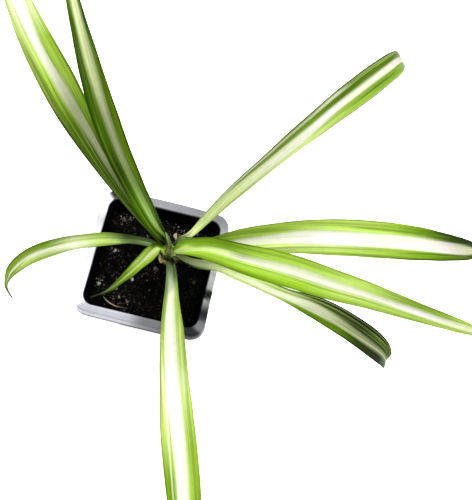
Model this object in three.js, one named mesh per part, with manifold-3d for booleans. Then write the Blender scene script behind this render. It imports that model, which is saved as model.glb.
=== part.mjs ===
// A young variegated spider plant in an 8 cm square nursery pot.
// Millimetres, +Z up. The origin is the middle of the pot's underside.
import * as THREE from 'three';
import { mergeVertices } from 'three/addons/utils/BufferGeometryUtils.js';
import Module from 'manifold-3d';

const wasm = await Module();
wasm.setup();

// Clearance kept between pieces that touch
const GAP = 0.3;

// Square pot
const POT_HEIGHT = 70;
const RIM_SIDE = 80;
const RIM_CORNER = 9;
const RIM_DROP = 9;
const RIM_BEVEL = 0.8;
const OPENING_SIDE = 70;
const OPENING_CORNER = 6.5;
const OPENING_BEVEL = 0.5;
const BASE_SIDE = 47;
const BASE_CORNER = 9;
const FOOT_BEVEL = 1.5;
const FOOT_HEIGHT = 2;
const WALL = 1.2;
const FLOOR = 1.6;
const CORNER_STEPS = 5;
const SIDE_STEPS = 4;
const DRAIN_RADIUS = 3.2;
const DRAIN_SPACING = 15;
const DRAIN_SIDES = 16;

// How far the middle of the soft rim's back, left, front and right side stands outward
const RIM_BOWS = [1, 0, 0.3, -0.7];
const STRAIGHT = [0, 0, 0, 0];
const POT_MIDDLE = new THREE.Vector2(0, 0);

// Potting soil
const SOIL_LEVEL = 59;
const SOIL_SETTLING = 0.5;
const SOIL_WALL_DROP = 1;
const MOUND_HEIGHT = 1.2;
const MOUND_REACH = 22;
const CRUMB_HEIGHT = 1.1;
const SOIL_RINGS = 9;
const SOIL_CORNER_STEPS = 7;
const SOIL_SEED = 41;

// Short stem that every leaf grows from: [radius, height above the soil]
const CROWN_AT = new THREE.Vector3(8, 10, SOIL_LEVEL);
const CROWN_PROFILE = [
  [0, -5], [4.2, -4.4], [6, -1], [6.2, 2], [5.7, 6], [4.9, 10], [4, 13.5], [2.6, 16], [0, 17],
];
const CROWN_SIDES = 14;

// Fleshy roots: compass angle in degrees, reach outward and depth below the soil
const ROOTS = [
  { angle: 20, reach: 17, depth: 38 },
  { angle: 95, reach: 12, depth: 44 },
  { angle: 165, reach: 22, depth: 34 },
  { angle: 230, reach: 24, depth: 46 },
  { angle: 305, reach: 19, depth: 36 },
];

// Course of a root as shares of its reach and depth, and its radius on the way
const ROOT_COURSE = [[0.05, 0.02], [0.35, 0.2], [0.7, 0.55], [1, 1]];
const ROOT_RADII = [1.5, 2.1, 2.2, 0.8];
const ROOT_SIDES = 6;
const ROOT_STEPS = 7;

// Leaf blades. Points run along the midrib from the crown, in millimetres from the
// crown's middle at the soil. Widths, folds and twists are spread evenly from base to
// tip. A fold is how steeply each half of the blade rises from the midrib, in degrees,
// and a twist turns the whole blade about its midrib.
const BLADE_THICKNESS = 0.8;
const NARROWEST = 1;
const UNTWISTED = [0, 0];
const STATION_SPACING = 8.5;
const FEWEST_STATIONS = 7;
const STATION_CROWDING = 1.15;
const LEAVES = [
  {
    name: 'leaf_back_left_long',
    points: [
      [-3.8, 2.3, 7.2], [-10, 6, 12.4], [-25, 13.5, 25], [-43, 24.5, 42], [-54.5, 33.5, 51],
      [-67.5, 46.5, 58], [-84.5, 65.5, 62], [-105.5, 90.5, 58], [-127.5, 122, 46],
      [-153, 166, 26], [-178, 212, 2],
    ],
    widths: [7, 9, 13, 20.5, 21, 19, 16, 11.5, 6.5, 1],
    fold: [55, 20, 14, 14, 12],
  },
  {
    name: 'leaf_back_left_steep',
    points: [
      [-2.6, 2.6, 11.5], [-3.6, 3.6, 18.5], [-10, 4, 32], [-25, 15, 54], [-38.5, 26, 76],
      [-50, 40, 92], [-61, 57.5, 104], [-72, 77, 109], [-82, 97.5, 105], [-92, 118, 95],
    ],
    widths: [4, 10, 13, 14, 15, 14, 11.5, 9, 6.5, 1],
    fold: [55, 30, 20, 18, 14],
  },
  {
    name: 'leaf_back_right',
    points: [
      [2.5, 3.2, 8.5], [4.5, 5.5, 18], [12, 6, 32], [30.5, 24.5, 60], [50.5, 45, 78],
      [68.5, 66, 86], [85, 89.5, 85], [97.5, 111, 77], [107.3, 131.6, 65.5],
      [110.8, 142.3, 51.4], [106.4, 146.1, 45.5], [104.2, 145.4, 33],
    ],
    widths: [5.5, 6, 8, 10, 11, 15, 18, 18.9, 15.7, 8.7, 3.7],
    fold: [55, 38, 34, 24, -13],
    twist: [0, 0, 0, 0, 0, -5, -3, 19, -5],
  },
  {
    name: 'leaf_right_upper',
    points: [
      [4.2, 1.4, 2.5], [9.5, 3, 9], [22.5, 3, 22], [45.5, 6.5, 38], [67, 10, 48],
      [92.5, 14.5, 53], [120.5, 21.5, 49], [145, 29, 40], [165, 37, 28], [182, 45, 14],
      [196, 52, -4],
    ],
    widths: [6, 10, 15.5, 19.5, 21.5, 22.5, 20.5, 16, 10, 1],
    fold: [55, 20, 14, 14, 12],
  },
  {
    name: 'leaf_right_long',
    points: [
      [3, -1.8, 11.8], [7, -3, 18], [14.5, -5, 30], [26, -8, 44], [49.5, -15, 61],
      [71, -19, 70], [92.5, -21, 71], [114.5, -19, 64], [139, -17, 52], [164.5, -13, 36],
      [187, -8.5, 20], [209, -4, 2],
    ],
    widths: [8, 16, 18, 21, 19.5, 17, 13, 9.5, 6, 1],
    fold: [55, 20, 14, 14, 12],
  },
  {
    name: 'leaf_right_lower',
    points: [
      [4.3, -1.9, 7.2], [8.5, -4.5, 11], [18.5, -9.5, 18], [36.5, -12, 29], [65, -21, 40],
      [87, -27, 44], [104.5, -31.5, 42], [124.5, -36, 34], [135, -37.7, 26.3],
      [139.8, -38.5, 17.2], [135.2, -30.7, 8.5], [133.6, -25.9, -0.3],
    ],
    widths: [6.5, 8, 8.5, 9, 10.5, 17, 20, 17.9, 8.9, 1.5],
    fold: [55, 34, 30, 25, -2],
    twist: [0, 0, 0, 0, 0, 0, 3, 13, -6],
  },
  {
    name: 'leaf_front',
    points: [
      [0, -4.8, 3.4], [3, -9, 10.5], [9, -30, 29], [15.5, -58, 43], [22.5, -82.5, 51],
      [30, -106.5, 54], [37.5, -127.5, 51], [44.5, -147.5, 42], [51, -169, 24], [58, -191, -4],
    ],
    widths: [7, 8, 11.5, 14.5, 17, 19.5, 19.5, 16.5, 10, 1],
    fold: [55, 18, 12, 12, 12],
  },
  {
    name: 'leaf_left_narrow',
    points: [
      [-4.4, 0.2, 2.2], [-9, 2, 7.2], [-19.5, -1.5, 17], [-39, -9.5, 28], [-53.5, -16.5, 32],
      [-65, -22, 30], [-77, -28, 23], [-85, -33.5, 12], [-90.5, -37, -2], [-92, -40, -12],
      [-89, -43, -22],
    ],
    widths: [5, 6, 7.5, 9, 8.5, 9, 8, 6.5, 3, 1],
    fold: [50, 28, 24, 26, 34],
  },
  {
    name: 'leaf_front_left_short',
    points: [
      [-3, -2.7, 8.5], [-4.2, -3.2, 14], [-7.5, -4, 20], [-13.5, -16.5, 22],
      [-21.5, -28, 19], [-29.5, -35.5, 13], [-39, -40, 7],
    ],
    widths: [5.5, 8, 9.5, 9.5, 7, 4, 1.5, 1],
    fold: [50, 34, 28, 28, 28],
  },
  {
    name: 'leaf_young_spear',
    points: [[-0.4, 0.8, 15], [-1, 1, 20], [-2, 1, 27], [-3.2, 1, 34]],
    widths: [2.6, 3, 2.4, 1],
    fold: [60, 54, 28],
  },
  {
    name: 'dry_leaf_scale',
    finish: 'dry',
    points: [[-3.8, -3.9, 1.8], [-5.2, -5.6, 3.6], [-6, -7, 6], [-6, -8, 8.4]],
    widths: [5, 6, 4.6, 1.4],
    fold: [40, 34, 30],
  },
];

// Loose grains that lie half sunk in the soil: [x, y, longest half size]
const GRAIN_KINDS = [
  {
    name: 'perlite',
    seed: 100,
    stretch: new THREE.Vector3(1, 1, 0.8),
    grains: [
      [-25.2, 26.5, 1.5], [-21, 27.4, 1.3], [-25, 5.2, 1.3], [-29, -18, 1.3],
      [-10, -10.4, 1.1], [-9.5, -25.2, 1.1], [-18.3, -18.6, 1.1], [2, -0.5, 1.5], [21.5, 28, 1.1],
      [26.6, -3.2, 1.2], [18, -22, 1],
    ],
  },
  {
    name: 'bark_chip',
    seed: 200,
    stretch: new THREE.Vector3(0.6, 1, 0.5),
    grains: [[8, 24, 2.2], [-14.9, -23.4, 1.3], [27.3, 8.2, 1.3]],
  },
];
const GRAIN_SMALLEST = 0.8;
const GRAIN_UNEVENNESS = 0.35;
const GRAIN_LIFT = 0.15;

// Dry root that lies across the soil near the front left corner of the rim
const STRAND_COURSE = [[-24, -25.5], [-20.5, -28], [-15.5, -29.5], [-8, -29]];
const STRAND_RADII = [0.3, 0.6, 0.6, 0.4];
const STRAND_LIFT = 0.3;
const STRAND_SIDES = 6;
const STRAND_STEPS = 10;

const degrees = THREE.MathUtils.degToRad;
const lerp = THREE.MathUtils.lerp;

// Repeatable random numbers from 0 to 1
function randomSource(seed) {
  let state = seed;
  return () => {
    state = (state * 1664525 + 1013904223) % 4294967296;
    return state / 4294967296;
  };
}

function indexed(positions, faces) {
  const geometry = new THREE.BufferGeometry();
  geometry.setAttribute('position', new THREE.Float32BufferAttribute(positions, 3));
  geometry.setIndex(faces);
  return geometry;
}

// The same geometry with each corner stored once
function welded(geometry) {
  const bare = geometry.clone();
  bare.deleteAttribute('normal');
  bare.deleteAttribute('uv');
  return mergeVertices(bare, 1e-4);
}

function toSolid(geometry) {
  const merged = welded(geometry);
  return new wasm.Manifold(new wasm.Mesh({
    numProp: 3,
    vertProperties: new Float32Array(merged.attributes.position.array),
    triVerts: new Uint32Array(merged.index.array),
  }));
}

function toGeometry(solid) {
  const mesh = solid.getMesh();
  return indexed(Array.from(mesh.vertProperties), Array.from(mesh.triVerts));
}

// The main body of a solid, without the slivers that cuts can leave
function largestPart(solid) {
  return solid.decompose().reduce((a, b) => (b.volume() > a.volume() ? b : a));
}

// Closed body through a list of loops that all have the same number of points
function loft(loops) {
  const count = loops[0].length;
  const positions = loops.flat().flatMap((point) => [point.x, point.y, point.z]);
  const faces = [];
  for (let k = 0; k < loops.length - 1; k += 1) {
    for (let i = 0; i < count; i += 1) {
      const a = k * count + i;
      const b = k * count + ((i + 1) % count);
      faces.push(a, b, b + count, a, b + count, a + count);
    }
  }
  const ends = [
    { loop: loops[0], first: 0, flip: true },
    { loop: loops[loops.length - 1], first: (loops.length - 1) * count, flip: false },
  ];
  for (const end of ends) {
    const middle = new THREE.Vector3();
    end.loop.forEach((point) => middle.add(point));
    middle.divideScalar(count);
    const centre = positions.length / 3;
    positions.push(middle.x, middle.y, middle.z);
    for (let i = 0; i < count; i += 1) {
      const a = end.first + i;
      const b = end.first + ((i + 1) % count);
      faces.push(centre, end.flip ? b : a, end.flip ? a : b);
    }
  }
  return indexed(positions, faces);
}

// Square with round corners, counter-clockwise seen from above. Its bows are how far the
// middle of the back, left, front and right side stands outward.
function roundedSquare(side, corner, z, bows = STRAIGHT, steps = CORNER_STEPS) {
  const points = [];
  const reach = side / 2 - corner;
  for (let quarter = 0; quarter < 4; quarter += 1) {
    for (let i = 0; i <= steps; i += 1) {
      const angle = (quarter + i / steps) * Math.PI / 2;
      const cornerX = reach * (quarter === 0 || quarter === 3 ? 1 : -1);
      const cornerY = reach * (quarter < 2 ? 1 : -1);
      const x = cornerX + corner * Math.cos(angle);
      const y = cornerY + corner * Math.sin(angle);
      points.push(new THREE.Vector3(x, y, z));
    }
    for (let i = 1; i < SIDE_STEPS; i += 1) {
      const share = 1 - 2 * i / SIDE_STEPS;
      const out = side / 2 + bows[quarter] * (1 - share ** 2);
      const place = new THREE.Vector2(share * reach, out);
      place.rotateAround(POT_MIDDLE, quarter * Math.PI / 2);
      points.push(new THREE.Vector3(place.x, place.y, z));
    }
  }
  return points;
}

// Inside width and corner of the pot at a height
function potInside(z) {
  const t = (z - FLOOR) / (POT_HEIGHT - FLOOR);
  return {
    side: lerp(BASE_SIDE - 2 * WALL, OPENING_SIDE, t),
    corner: lerp(BASE_CORNER - WALL, OPENING_CORNER, t),
  };
}

function potGeometry() {
  const underRim = POT_HEIGHT - WALL;
  const skirt = POT_HEIGHT - RIM_DROP;
  const bevelStart = POT_HEIGHT - RIM_BEVEL;
  const wallTop = potInside(underRim);
  const mouth = potInside(bevelStart);
  const floor = potInside(FLOOR);
  let pot = toSolid(loft([
    roundedSquare(BASE_SIDE - 2 * FOOT_BEVEL, BASE_CORNER - FOOT_BEVEL, 0),
    roundedSquare(BASE_SIDE, BASE_CORNER, FOOT_HEIGHT),
    roundedSquare(wallTop.side + 2 * WALL, wallTop.corner + WALL, underRim),
    roundedSquare(RIM_SIDE - 2 * WALL, RIM_CORNER - WALL, underRim, RIM_BOWS),
    roundedSquare(RIM_SIDE - 2 * WALL, RIM_CORNER - WALL, skirt, RIM_BOWS),
    roundedSquare(RIM_SIDE, RIM_CORNER, skirt, RIM_BOWS),
    roundedSquare(RIM_SIDE, RIM_CORNER, bevelStart, RIM_BOWS),
    roundedSquare(RIM_SIDE - 2 * RIM_BEVEL, RIM_CORNER - RIM_BEVEL, POT_HEIGHT, RIM_BOWS),
    roundedSquare(OPENING_SIDE + 2 * OPENING_BEVEL, OPENING_CORNER + OPENING_BEVEL, POT_HEIGHT),
    roundedSquare(mouth.side, mouth.corner, bevelStart),
    roundedSquare(floor.side, floor.corner, FLOOR),
  ]));
  for (const [sx, sy] of [[1, 1], [1, -1], [-1, 1], [-1, -1]]) {
    const hole = new THREE.CylinderGeometry(DRAIN_RADIUS, DRAIN_RADIUS, 4 * FLOOR, DRAIN_SIDES);
    hole.rotateX(Math.PI / 2);
    hole.translate(sx * DRAIN_SPACING, sy * DRAIN_SPACING, FLOOR / 2);
    pot = pot.subtract(toSolid(hole));
  }
  return toGeometry(pot);
}

// Frames carried along a curve without twist: a point with its forward and side
// directions. Crowding above 1 puts more of them near the start.
function carriedFrames(curve, stations, crowding = 1) {
  const frames = [];
  let side = null;
  for (let i = 0; i <= stations; i += 1) {
    const u = (i / stations) ** crowding;
    const forward = curve.getTangentAt(u).normalize();
    if (side === null) {
      side = new THREE.Vector3(0, 0, 1).cross(forward).normalize();
    } else {
      side = side.clone().addScaledVector(forward, -side.dot(forward)).normalize();
    }
    frames.push({ u, forward, side, point: curve.getPointAt(u) });
  }
  return frames;
}

// Value at u on a smooth line through evenly spaced values
function along(values, u) {
  const last = values.length - 1;
  const x = THREE.MathUtils.clamp(u, 0, 1) * last;
  const i = Math.min(Math.floor(x), last - 1);
  const t = x - i;
  const p1 = values[i];
  const p2 = values[i + 1];
  const p0 = i > 0 ? values[i - 1] : 2 * p1 - p2;
  const p3 = i + 2 <= last ? values[i + 2] : 2 * p2 - p1;
  const slope1 = (p2 - p0) / 2;
  const slope2 = (p3 - p1) / 2;
  const t2 = t * t;
  const t3 = t2 * t;
  return (2 * t3 - 3 * t2 + 1) * p1 + (t3 - 2 * t2 + t) * slope1
    + (3 * t2 - 2 * t3) * p2 + (t3 - t2) * slope2;
}

// Places across the blade, as shares of its half width
const ACROSS = [-1, -0.5, 0, 0.5, 1];

// A leaf blade: a thin folded strip
function leafGeometry(leaf, grow = 0) {
  const points = leaf.points.map(([x, y, z]) => new THREE.Vector3(x, y, z).add(CROWN_AT));
  const curve = new THREE.CatmullRomCurve3(points, false, 'centripetal');
  const stations = Math.max(FEWEST_STATIONS, Math.round(curve.getLength() / STATION_SPACING));
  const half = BLADE_THICKNESS / 2 + grow;
  const sections = carriedFrames(curve, stations, STATION_CROWDING).map((frame) => {
    const { u, forward } = frame;
    const twist = degrees(along(leaf.twist ?? UNTWISTED, u));
    const side = frame.side.clone().applyAxisAngle(forward, twist);
    const up = forward.clone().cross(side);
    const fold = degrees(along(leaf.fold, u));
    const reach = Math.max(along(leaf.widths, u), NARROWEST) / 2 + grow;
    const at = frame.point.clone();
    if (u === 0) {
      at.addScaledVector(forward, -grow);
    }
    if (u === 1) {
      at.addScaledVector(forward, grow);
    }
    const place = (v, level) => {
      const mitre = v === 0 ? half / Math.cos(fold) : half;
      const tilt = Math.sign(v) * fold;
      const across = v * reach * Math.cos(fold) - level * mitre * Math.sin(tilt);
      const height = Math.abs(v) * reach * Math.sin(fold) + level * mitre * Math.cos(tilt);
      return at.clone().addScaledVector(side, across).addScaledVector(up, height);
    };
    return {
      top: ACROSS.map((v) => place(v, 1)),
      bottom: ACROSS.map((v) => place(v, -1)),
    };
  });
  return strip(sections);
}

// A thin strip through its sections, with triangles alike on both faces
function strip(sections) {
  const count = ACROSS.length;
  const last = count - 1;
  const end = sections.length - 1;
  const positions = [];
  sections.forEach(({ top, bottom }) => {
    [...top, ...bottom].forEach((point) => positions.push(point.x, point.y, point.z));
  });
  const faces = [];
  const quad = (a, b, c, d) => faces.push(a, b, c, a, c, d);
  const topAt = (i, j) => i * 2 * count + j;
  const bottomAt = (i, j) => i * 2 * count + count + j;
  for (let i = 0; i < end; i += 1) {
    for (let j = 0; j < last; j += 1) {
      quad(topAt(i, j), topAt(i + 1, j), topAt(i + 1, j + 1), topAt(i, j + 1));
      faces.push(bottomAt(i, j), bottomAt(i + 1, j + 1), bottomAt(i + 1, j));
      faces.push(bottomAt(i, j), bottomAt(i, j + 1), bottomAt(i + 1, j + 1));
    }
    quad(topAt(i, last), topAt(i + 1, last), bottomAt(i + 1, last), bottomAt(i, last));
    quad(bottomAt(i, 0), bottomAt(i + 1, 0), topAt(i + 1, 0), topAt(i, 0));
  }
  for (let j = 0; j < last; j += 1) {
    quad(topAt(0, j), topAt(0, j + 1), bottomAt(0, j + 1), bottomAt(0, j));
    quad(bottomAt(end, j), bottomAt(end, j + 1), topAt(end, j + 1), topAt(end, j));
  }
  return indexed(positions, faces);
}

// A round body that follows a curve, with its radius spread along it
function taperedTube(points, radii, sides, steps) {
  const curve = new THREE.CatmullRomCurve3(points, false, 'centripetal');
  const loops = carriedFrames(curve, steps).map((frame) => {
    const up = frame.forward.clone().cross(frame.side);
    const radius = along(radii, frame.u);
    const loop = [];
    for (let i = 0; i < sides; i += 1) {
      const angle = 2 * Math.PI * i / sides;
      const out = frame.side.clone().multiplyScalar(Math.cos(angle));
      out.addScaledVector(up, Math.sin(angle));
      loop.push(frame.point.clone().addScaledVector(out, radius));
    }
    return loop;
  });
  return loft(loops);
}

// Crown with its fleshy roots, as one solid
function crownSolid(grow = 0) {
  const last = CROWN_PROFILE.length - 1;
  const profile = CROWN_PROFILE.map(([radius, z], i) => {
    if (i === 0) {
      return new THREE.Vector2(0, z - grow);
    }
    return i === last ? new THREE.Vector2(0, z + grow) : new THREE.Vector2(radius + grow, z);
  });
  const stump = new THREE.LatheGeometry(profile, CROWN_SIDES);
  stump.rotateX(Math.PI / 2);
  stump.translate(CROWN_AT.x, CROWN_AT.y, CROWN_AT.z);
  let solid = toSolid(stump);
  const radii = ROOT_RADII.map((radius) => radius + grow);
  for (const root of ROOTS) {
    const angle = degrees(root.angle);
    const points = ROOT_COURSE.map(([outward, downward]) => new THREE.Vector3(
      CROWN_AT.x + outward * root.reach * Math.cos(angle),
      CROWN_AT.y + outward * root.reach * Math.sin(angle),
      CROWN_AT.z - downward * root.depth,
    ));
    solid = solid.add(toSolid(taperedTube(points, radii, ROOT_SIDES, ROOT_STEPS)));
  }
  return solid;
}

// The crown with a socket for the base of each leaf
function crownGeometry() {
  let solid = crownSolid();
  for (const leaf of LEAVES) {
    solid = solid.subtract(toSolid(leafGeometry(leaf, GAP)));
  }
  return toGeometry(largestPart(solid));
}

// Height of the soil: a low mound about the crown, with crumbs from -0.5 to 0.5
function soilHeight(x, y, crumb) {
  const fromCrown = Math.hypot(x - CROWN_AT.x, y - CROWN_AT.y);
  const mound = MOUND_HEIGHT * Math.exp(-((fromCrown / MOUND_REACH) ** 2));
  return SOIL_LEVEL - SOIL_SETTLING + mound + CRUMB_HEIGHT * crumb;
}

function soilBody() {
  const bottom = FLOOR + GAP;
  const wallContact = SOIL_LEVEL - SOIL_WALL_DROP;
  const fit = (z) => {
    const inside = potInside(z);
    const corner = inside.corner - GAP;
    return roundedSquare(inside.side - 2 * GAP, corner, z, STRAIGHT, SOIL_CORNER_STEPS);
  };
  const edge = fit(wallContact);
  const loops = [fit(bottom), fit((bottom + wallContact) / 2), edge];
  const random = randomSource(SOIL_SEED);
  for (let ring = 1; ring < SOIL_RINGS; ring += 1) {
    const scale = 1 - ring / SOIL_RINGS;
    loops.push(edge.map((point) => {
      const x = point.x * scale;
      const y = point.y * scale;
      return new THREE.Vector3(x, y, soilHeight(x, y, random() - 0.5));
    }));
  }
  return toSolid(loft(loops));
}

// A rough grain or chip, half sunk in the soil
function grainGeometry(grain, grow = 0) {
  const { x, y, size, stretch, seed } = grain;
  const random = randomSource(seed);
  const geometry = welded(new THREE.IcosahedronGeometry(1, 0));
  const position = geometry.attributes.position;
  const turn = new THREE.Euler(...[1, 1, 1].map(() => 2 * Math.PI * random()));
  const middle = new THREE.Vector3(x, y, soilHeight(x, y, 0) + GRAIN_LIFT * size);
  for (let i = 0; i < position.count; i += 1) {
    const point = new THREE.Vector3().fromBufferAttribute(position, i);
    point.multiplyScalar(size * (GRAIN_SMALLEST + GRAIN_UNEVENNESS * random()) + grow);
    point.applyEuler(turn).multiply(stretch).add(middle);
    position.setXYZ(i, point.x, point.y, point.z);
  }
  return geometry;
}

function strandGeometry(grow = 0) {
  const points = STRAND_COURSE.map(([x, y]) => (
    new THREE.Vector3(x, y, SOIL_LEVEL + STRAND_LIFT)
  ));
  const radii = STRAND_RADII.map((radius) => radius + grow);
  return taperedTube(points, radii, STRAND_SIDES, STRAND_STEPS);
}

const finish = (color, roughness) => (
  new THREE.MeshStandardMaterial({ color, roughness, metalness: 0 })
);
const FINISHES = {
  pot: finish(0x15161a, 0.25),
  soil: finish(0x1c140f, 0.95),
  crown: finish(0xb9c78a, 0.5),
  leaf: finish(0x7fa82e, 0.4),
  dry: finish(0xb98a5e, 0.8),
  perlite: finish(0xd8d4cc, 0.9),
  bark_chip: finish(0x9a7550, 0.85),
};

const group = new THREE.Group();

function addPiece(name, geometry, material) {
  const flat = geometry.toNonIndexed();
  flat.computeVertexNormals();
  const mesh = new THREE.Mesh(flat, material);
  mesh.name = name;
  group.add(mesh);
}

addPiece('pot', potGeometry(), FINISHES.pot);

// Soil, with a hole for the crown and a dimple under each loose piece
let soil = soilBody().subtract(crownSolid(GAP));
for (const { name, seed, stretch, grains } of GRAIN_KINDS) {
  grains.forEach(([x, y, size], i) => {
    const grain = { x, y, size, stretch, seed: seed + i };
    addPiece(`${name}_${i + 1}`, grainGeometry(grain), FINISHES[name]);
    soil = soil.subtract(toSolid(grainGeometry(grain, GAP)));
  });
}
addPiece('dry_strand', strandGeometry(), FINISHES.dry);
soil = soil.subtract(toSolid(strandGeometry(GAP)));
addPiece('soil', toGeometry(largestPart(soil)), FINISHES.soil);

addPiece('crown', crownGeometry(), FINISHES.crown);
for (const leaf of LEAVES) {
  addPiece(leaf.name, leafGeometry(leaf), FINISHES[leaf.finish ?? 'leaf']);
}

export default group;
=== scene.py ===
"""A young variegated spider plant in an 8 cm square nursery pot."""

import math
import random

import bmesh
import bpy
import numpy as np
from mathutils import Matrix


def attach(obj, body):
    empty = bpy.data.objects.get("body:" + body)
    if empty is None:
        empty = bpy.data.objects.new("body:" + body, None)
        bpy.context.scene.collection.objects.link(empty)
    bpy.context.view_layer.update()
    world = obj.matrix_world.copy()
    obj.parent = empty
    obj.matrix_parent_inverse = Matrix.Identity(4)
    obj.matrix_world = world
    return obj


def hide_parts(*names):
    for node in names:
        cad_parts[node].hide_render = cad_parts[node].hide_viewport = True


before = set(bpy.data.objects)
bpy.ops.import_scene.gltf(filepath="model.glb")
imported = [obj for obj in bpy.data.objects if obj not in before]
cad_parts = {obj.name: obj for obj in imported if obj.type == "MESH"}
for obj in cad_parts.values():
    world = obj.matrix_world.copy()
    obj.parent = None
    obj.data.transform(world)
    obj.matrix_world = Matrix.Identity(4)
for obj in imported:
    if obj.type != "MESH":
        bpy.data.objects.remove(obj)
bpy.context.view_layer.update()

# Places and sizes are in millimetres and angles in degrees, where nothing else is said
MM = 0.001
CROWN_AT = np.array([8.0, 10.0, 59.0])

# How much brighter the lit plant is than its own colour, so that a colour below can be
# given as it should look on the picture
LIGHT_GAIN = 1.8

# The picture's contrast: below 1 the darks go down
VIEW_GAMMA = 0.85

# Colours as they look in the light, red, green and blue from 0 to 255. Sun is painted light and
# past 255: it stays bright where a line of it is laid thinly over a green.
PALETTE = {
    "ink": (18, 26, 4),
    "deep": (40, 58, 6),
    "forest": (60, 90, 6),
    "moss": (92, 124, 10),
    "olive": (122, 146, 44),
    "leaf": (124, 164, 34),
    "acid": (156, 200, 46),
    "bright": (164, 200, 68),
    "fresh": (180, 211, 96),
    "lime": (202, 228, 124),
    "lemon": (228, 240, 178),
    "pale": (208, 220, 158),
    "cream": (246, 249, 222),
    "white": (255, 254, 249),
    "sun": (292, 312, 200),
    "blush": (246, 236, 228),
    "mist": (184, 192, 148),
    "grey": (140, 152, 112),
    "sage": (152, 180, 98),
    "dusk": (108, 128, 72),
    "shadow": (64, 80, 44),
    "brown": (104, 84, 48),
    "tan": (196, 160, 116),
    "husk": (196, 146, 116),
    "root": (224, 214, 180),
}


def twentieths(first, values, rest=0):
    """Values for every twentieth of a blade's length, with rest before and after them."""
    return [rest] * first + values + [rest] * (21 - first - len(values))


# Leaf blades. Points run along the midrib and are counted from the crown. Everything in a
# list or a row of colours is spread evenly from base to tip: the widths, the folds and the
# twists; lean and lean_right, how much wider the left and the right half are; the colours of
# the left band, the stripe and the right band; upper and lower, where the stripe ends toward
# the left and the right edge, which are at 100 and -100; and a factor of painted light, which
# above 1 brightens the blade, standing for light that shines through and lifting parts that
# lie in shade, and below 1 darkens it as painted shade. The rows of colours hold painted
# light too: duller, darker tones are painted shade near the crown and on blades that turn from
# the light, and pale patches are painted sheen where a blade faces it. A line is [place
# across, half width, from, to, colour, strength], with how softly it starts and ends where
# that differs; ink and deep lines at a blade's foot are painted shade in the crown's hollows,
# and sun lines are painted light. Soft is how softly the stripe ends, shade how far the
# painted shadow of other leaves reaches at the left and the right edge, and sheath how high
# the crown's sheath stands at the leaf's foot. Leans, stripe edges, lines, soft and shade are
# in percent, across of the half width and along of the length.
LEAVES = []


def add_leaf(name, **shape):
    LEAVES.append({"name": name, **shape})


add_leaf(
    "leaf_back_left_long",
    points=[
        [-3.8, 2.3, 7.2], [-10, 6, 12.4], [-25, 13.5, 25], [-43, 24.5, 42], [-54.5, 33.5, 51],
        [-67.5, 46.5, 58], [-84.5, 65.5, 62], [-105.5, 90.5, 58], [-127.5, 122, 46], [-153, 166, 26],
        [-178, 212, 2],
    ],
    widths=[7, 9, 13, 20.5, 21, 19, 16, 11.5, 6.5, 1],
    fold=[55, 20, 14, 14, 12],
    lean=twentieths(3, [2, 4, 7, 11, 13, 13, 9, 3, -1, -5, -3]),
    lean_right=twentieths(8, [2, 3, 5, 6, 3]),
    left="forest forest moss moss bright lime lemon lemon lime fresh leaf",
    stripe="moss olive mist mist cream white white white cream pale",
    right="lime moss moss leaf bright bright lemon lemon lime fresh leaf",
    upper=[5, -10, -20, 12, 26, 28, 32, 24, 15, 5],
    lower=[-10, -30, -60, -45, -25, -30, -34, -20, -15, -5],
    glow=[0.7, 0.7, 0.85, 0.95, 1.2, 1.25, 1, 1],
    lines=[
        [80, 6, 6, 20, "pale", 40], [50, 5, 8, 30, "sage", 45], [62, 4, 12, 40, "deep", 50],
        [38, 4, 14, 42, "deep", 40], [12, 5, 14, 30, "pale", 50], [97, 4, 16, 36, "ink", 60],
        [-55, 4, 36, 52, "lime", 40], [84, 5, 30, 50, "lime", 50], [-93, 6, 15, 50, "deep", 50],
        # The ink line at the foot is painted shade
        [-70, 4, 40, 56, "leaf", 50], [-50, 50, 0, 3, "ink", 130, 1],
    ],
)
add_leaf(
    "leaf_back_left_steep",
    points=[
        [-2.6, 2.6, 11.5], [-3.6, 3.6, 18.5], [-10, 4, 32], [-25, 15, 54], [-38.5, 26, 76], [-50, 40, 92],
        [-61, 57.5, 104], [-72, 77, 109], [-82, 97.5, 105], [-92, 118, 95],
    ],
    widths=[4, 10, 13, 14, 15, 14, 11.5, 9, 6.5, 1],
    fold=[55, 30, 20, 18, 14],
    lean=twentieths(10, [4, 8, 12, 16, 13, 10, 12, 16, 12, 6]),
    lean_right=twentieths(5, [-4, 3, 7, 7, 8, 10, 8, 6, 6, 8, 7, 6, 2]),
    left="forest deep forest deep forest forest forest forest moss moss",
    stripe="sage sage sage sage mist mist pale pale lemon lemon pale",
    right="forest deep forest moss moss moss moss forest moss moss",
    upper=[20, 12, 10, 6, 2, 16, 34, 36, 36, 5],
    lower=[-40, -55, -50, -40, -36, -40, -50, -52, -50, -5],
    soft=28,
    glow=[2.4, 2.3, 1.3, 1.1, 1, 1, 1.02, 1, 0.96],
    lines=[
        [55, 4, 10, 80, "deep", 40], [-96, 4, 20, 90, "ink", 70], [70, 5, 10, 50, "leaf", 35],
        # The three ink lines at the foot are painted shade in the crown's hollow
        [97, 4, 30, 90, "deep", 50], [40, 4, 50, 86, "leaf", 40], [65, 40, 2, 7, "ink", 130, 1.5],
        [-60, 40, 2, 5.5, "ink", 110, 1], [-90, 35, 0, 7, "ink", 100, 1.5],
    ],
)
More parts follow.
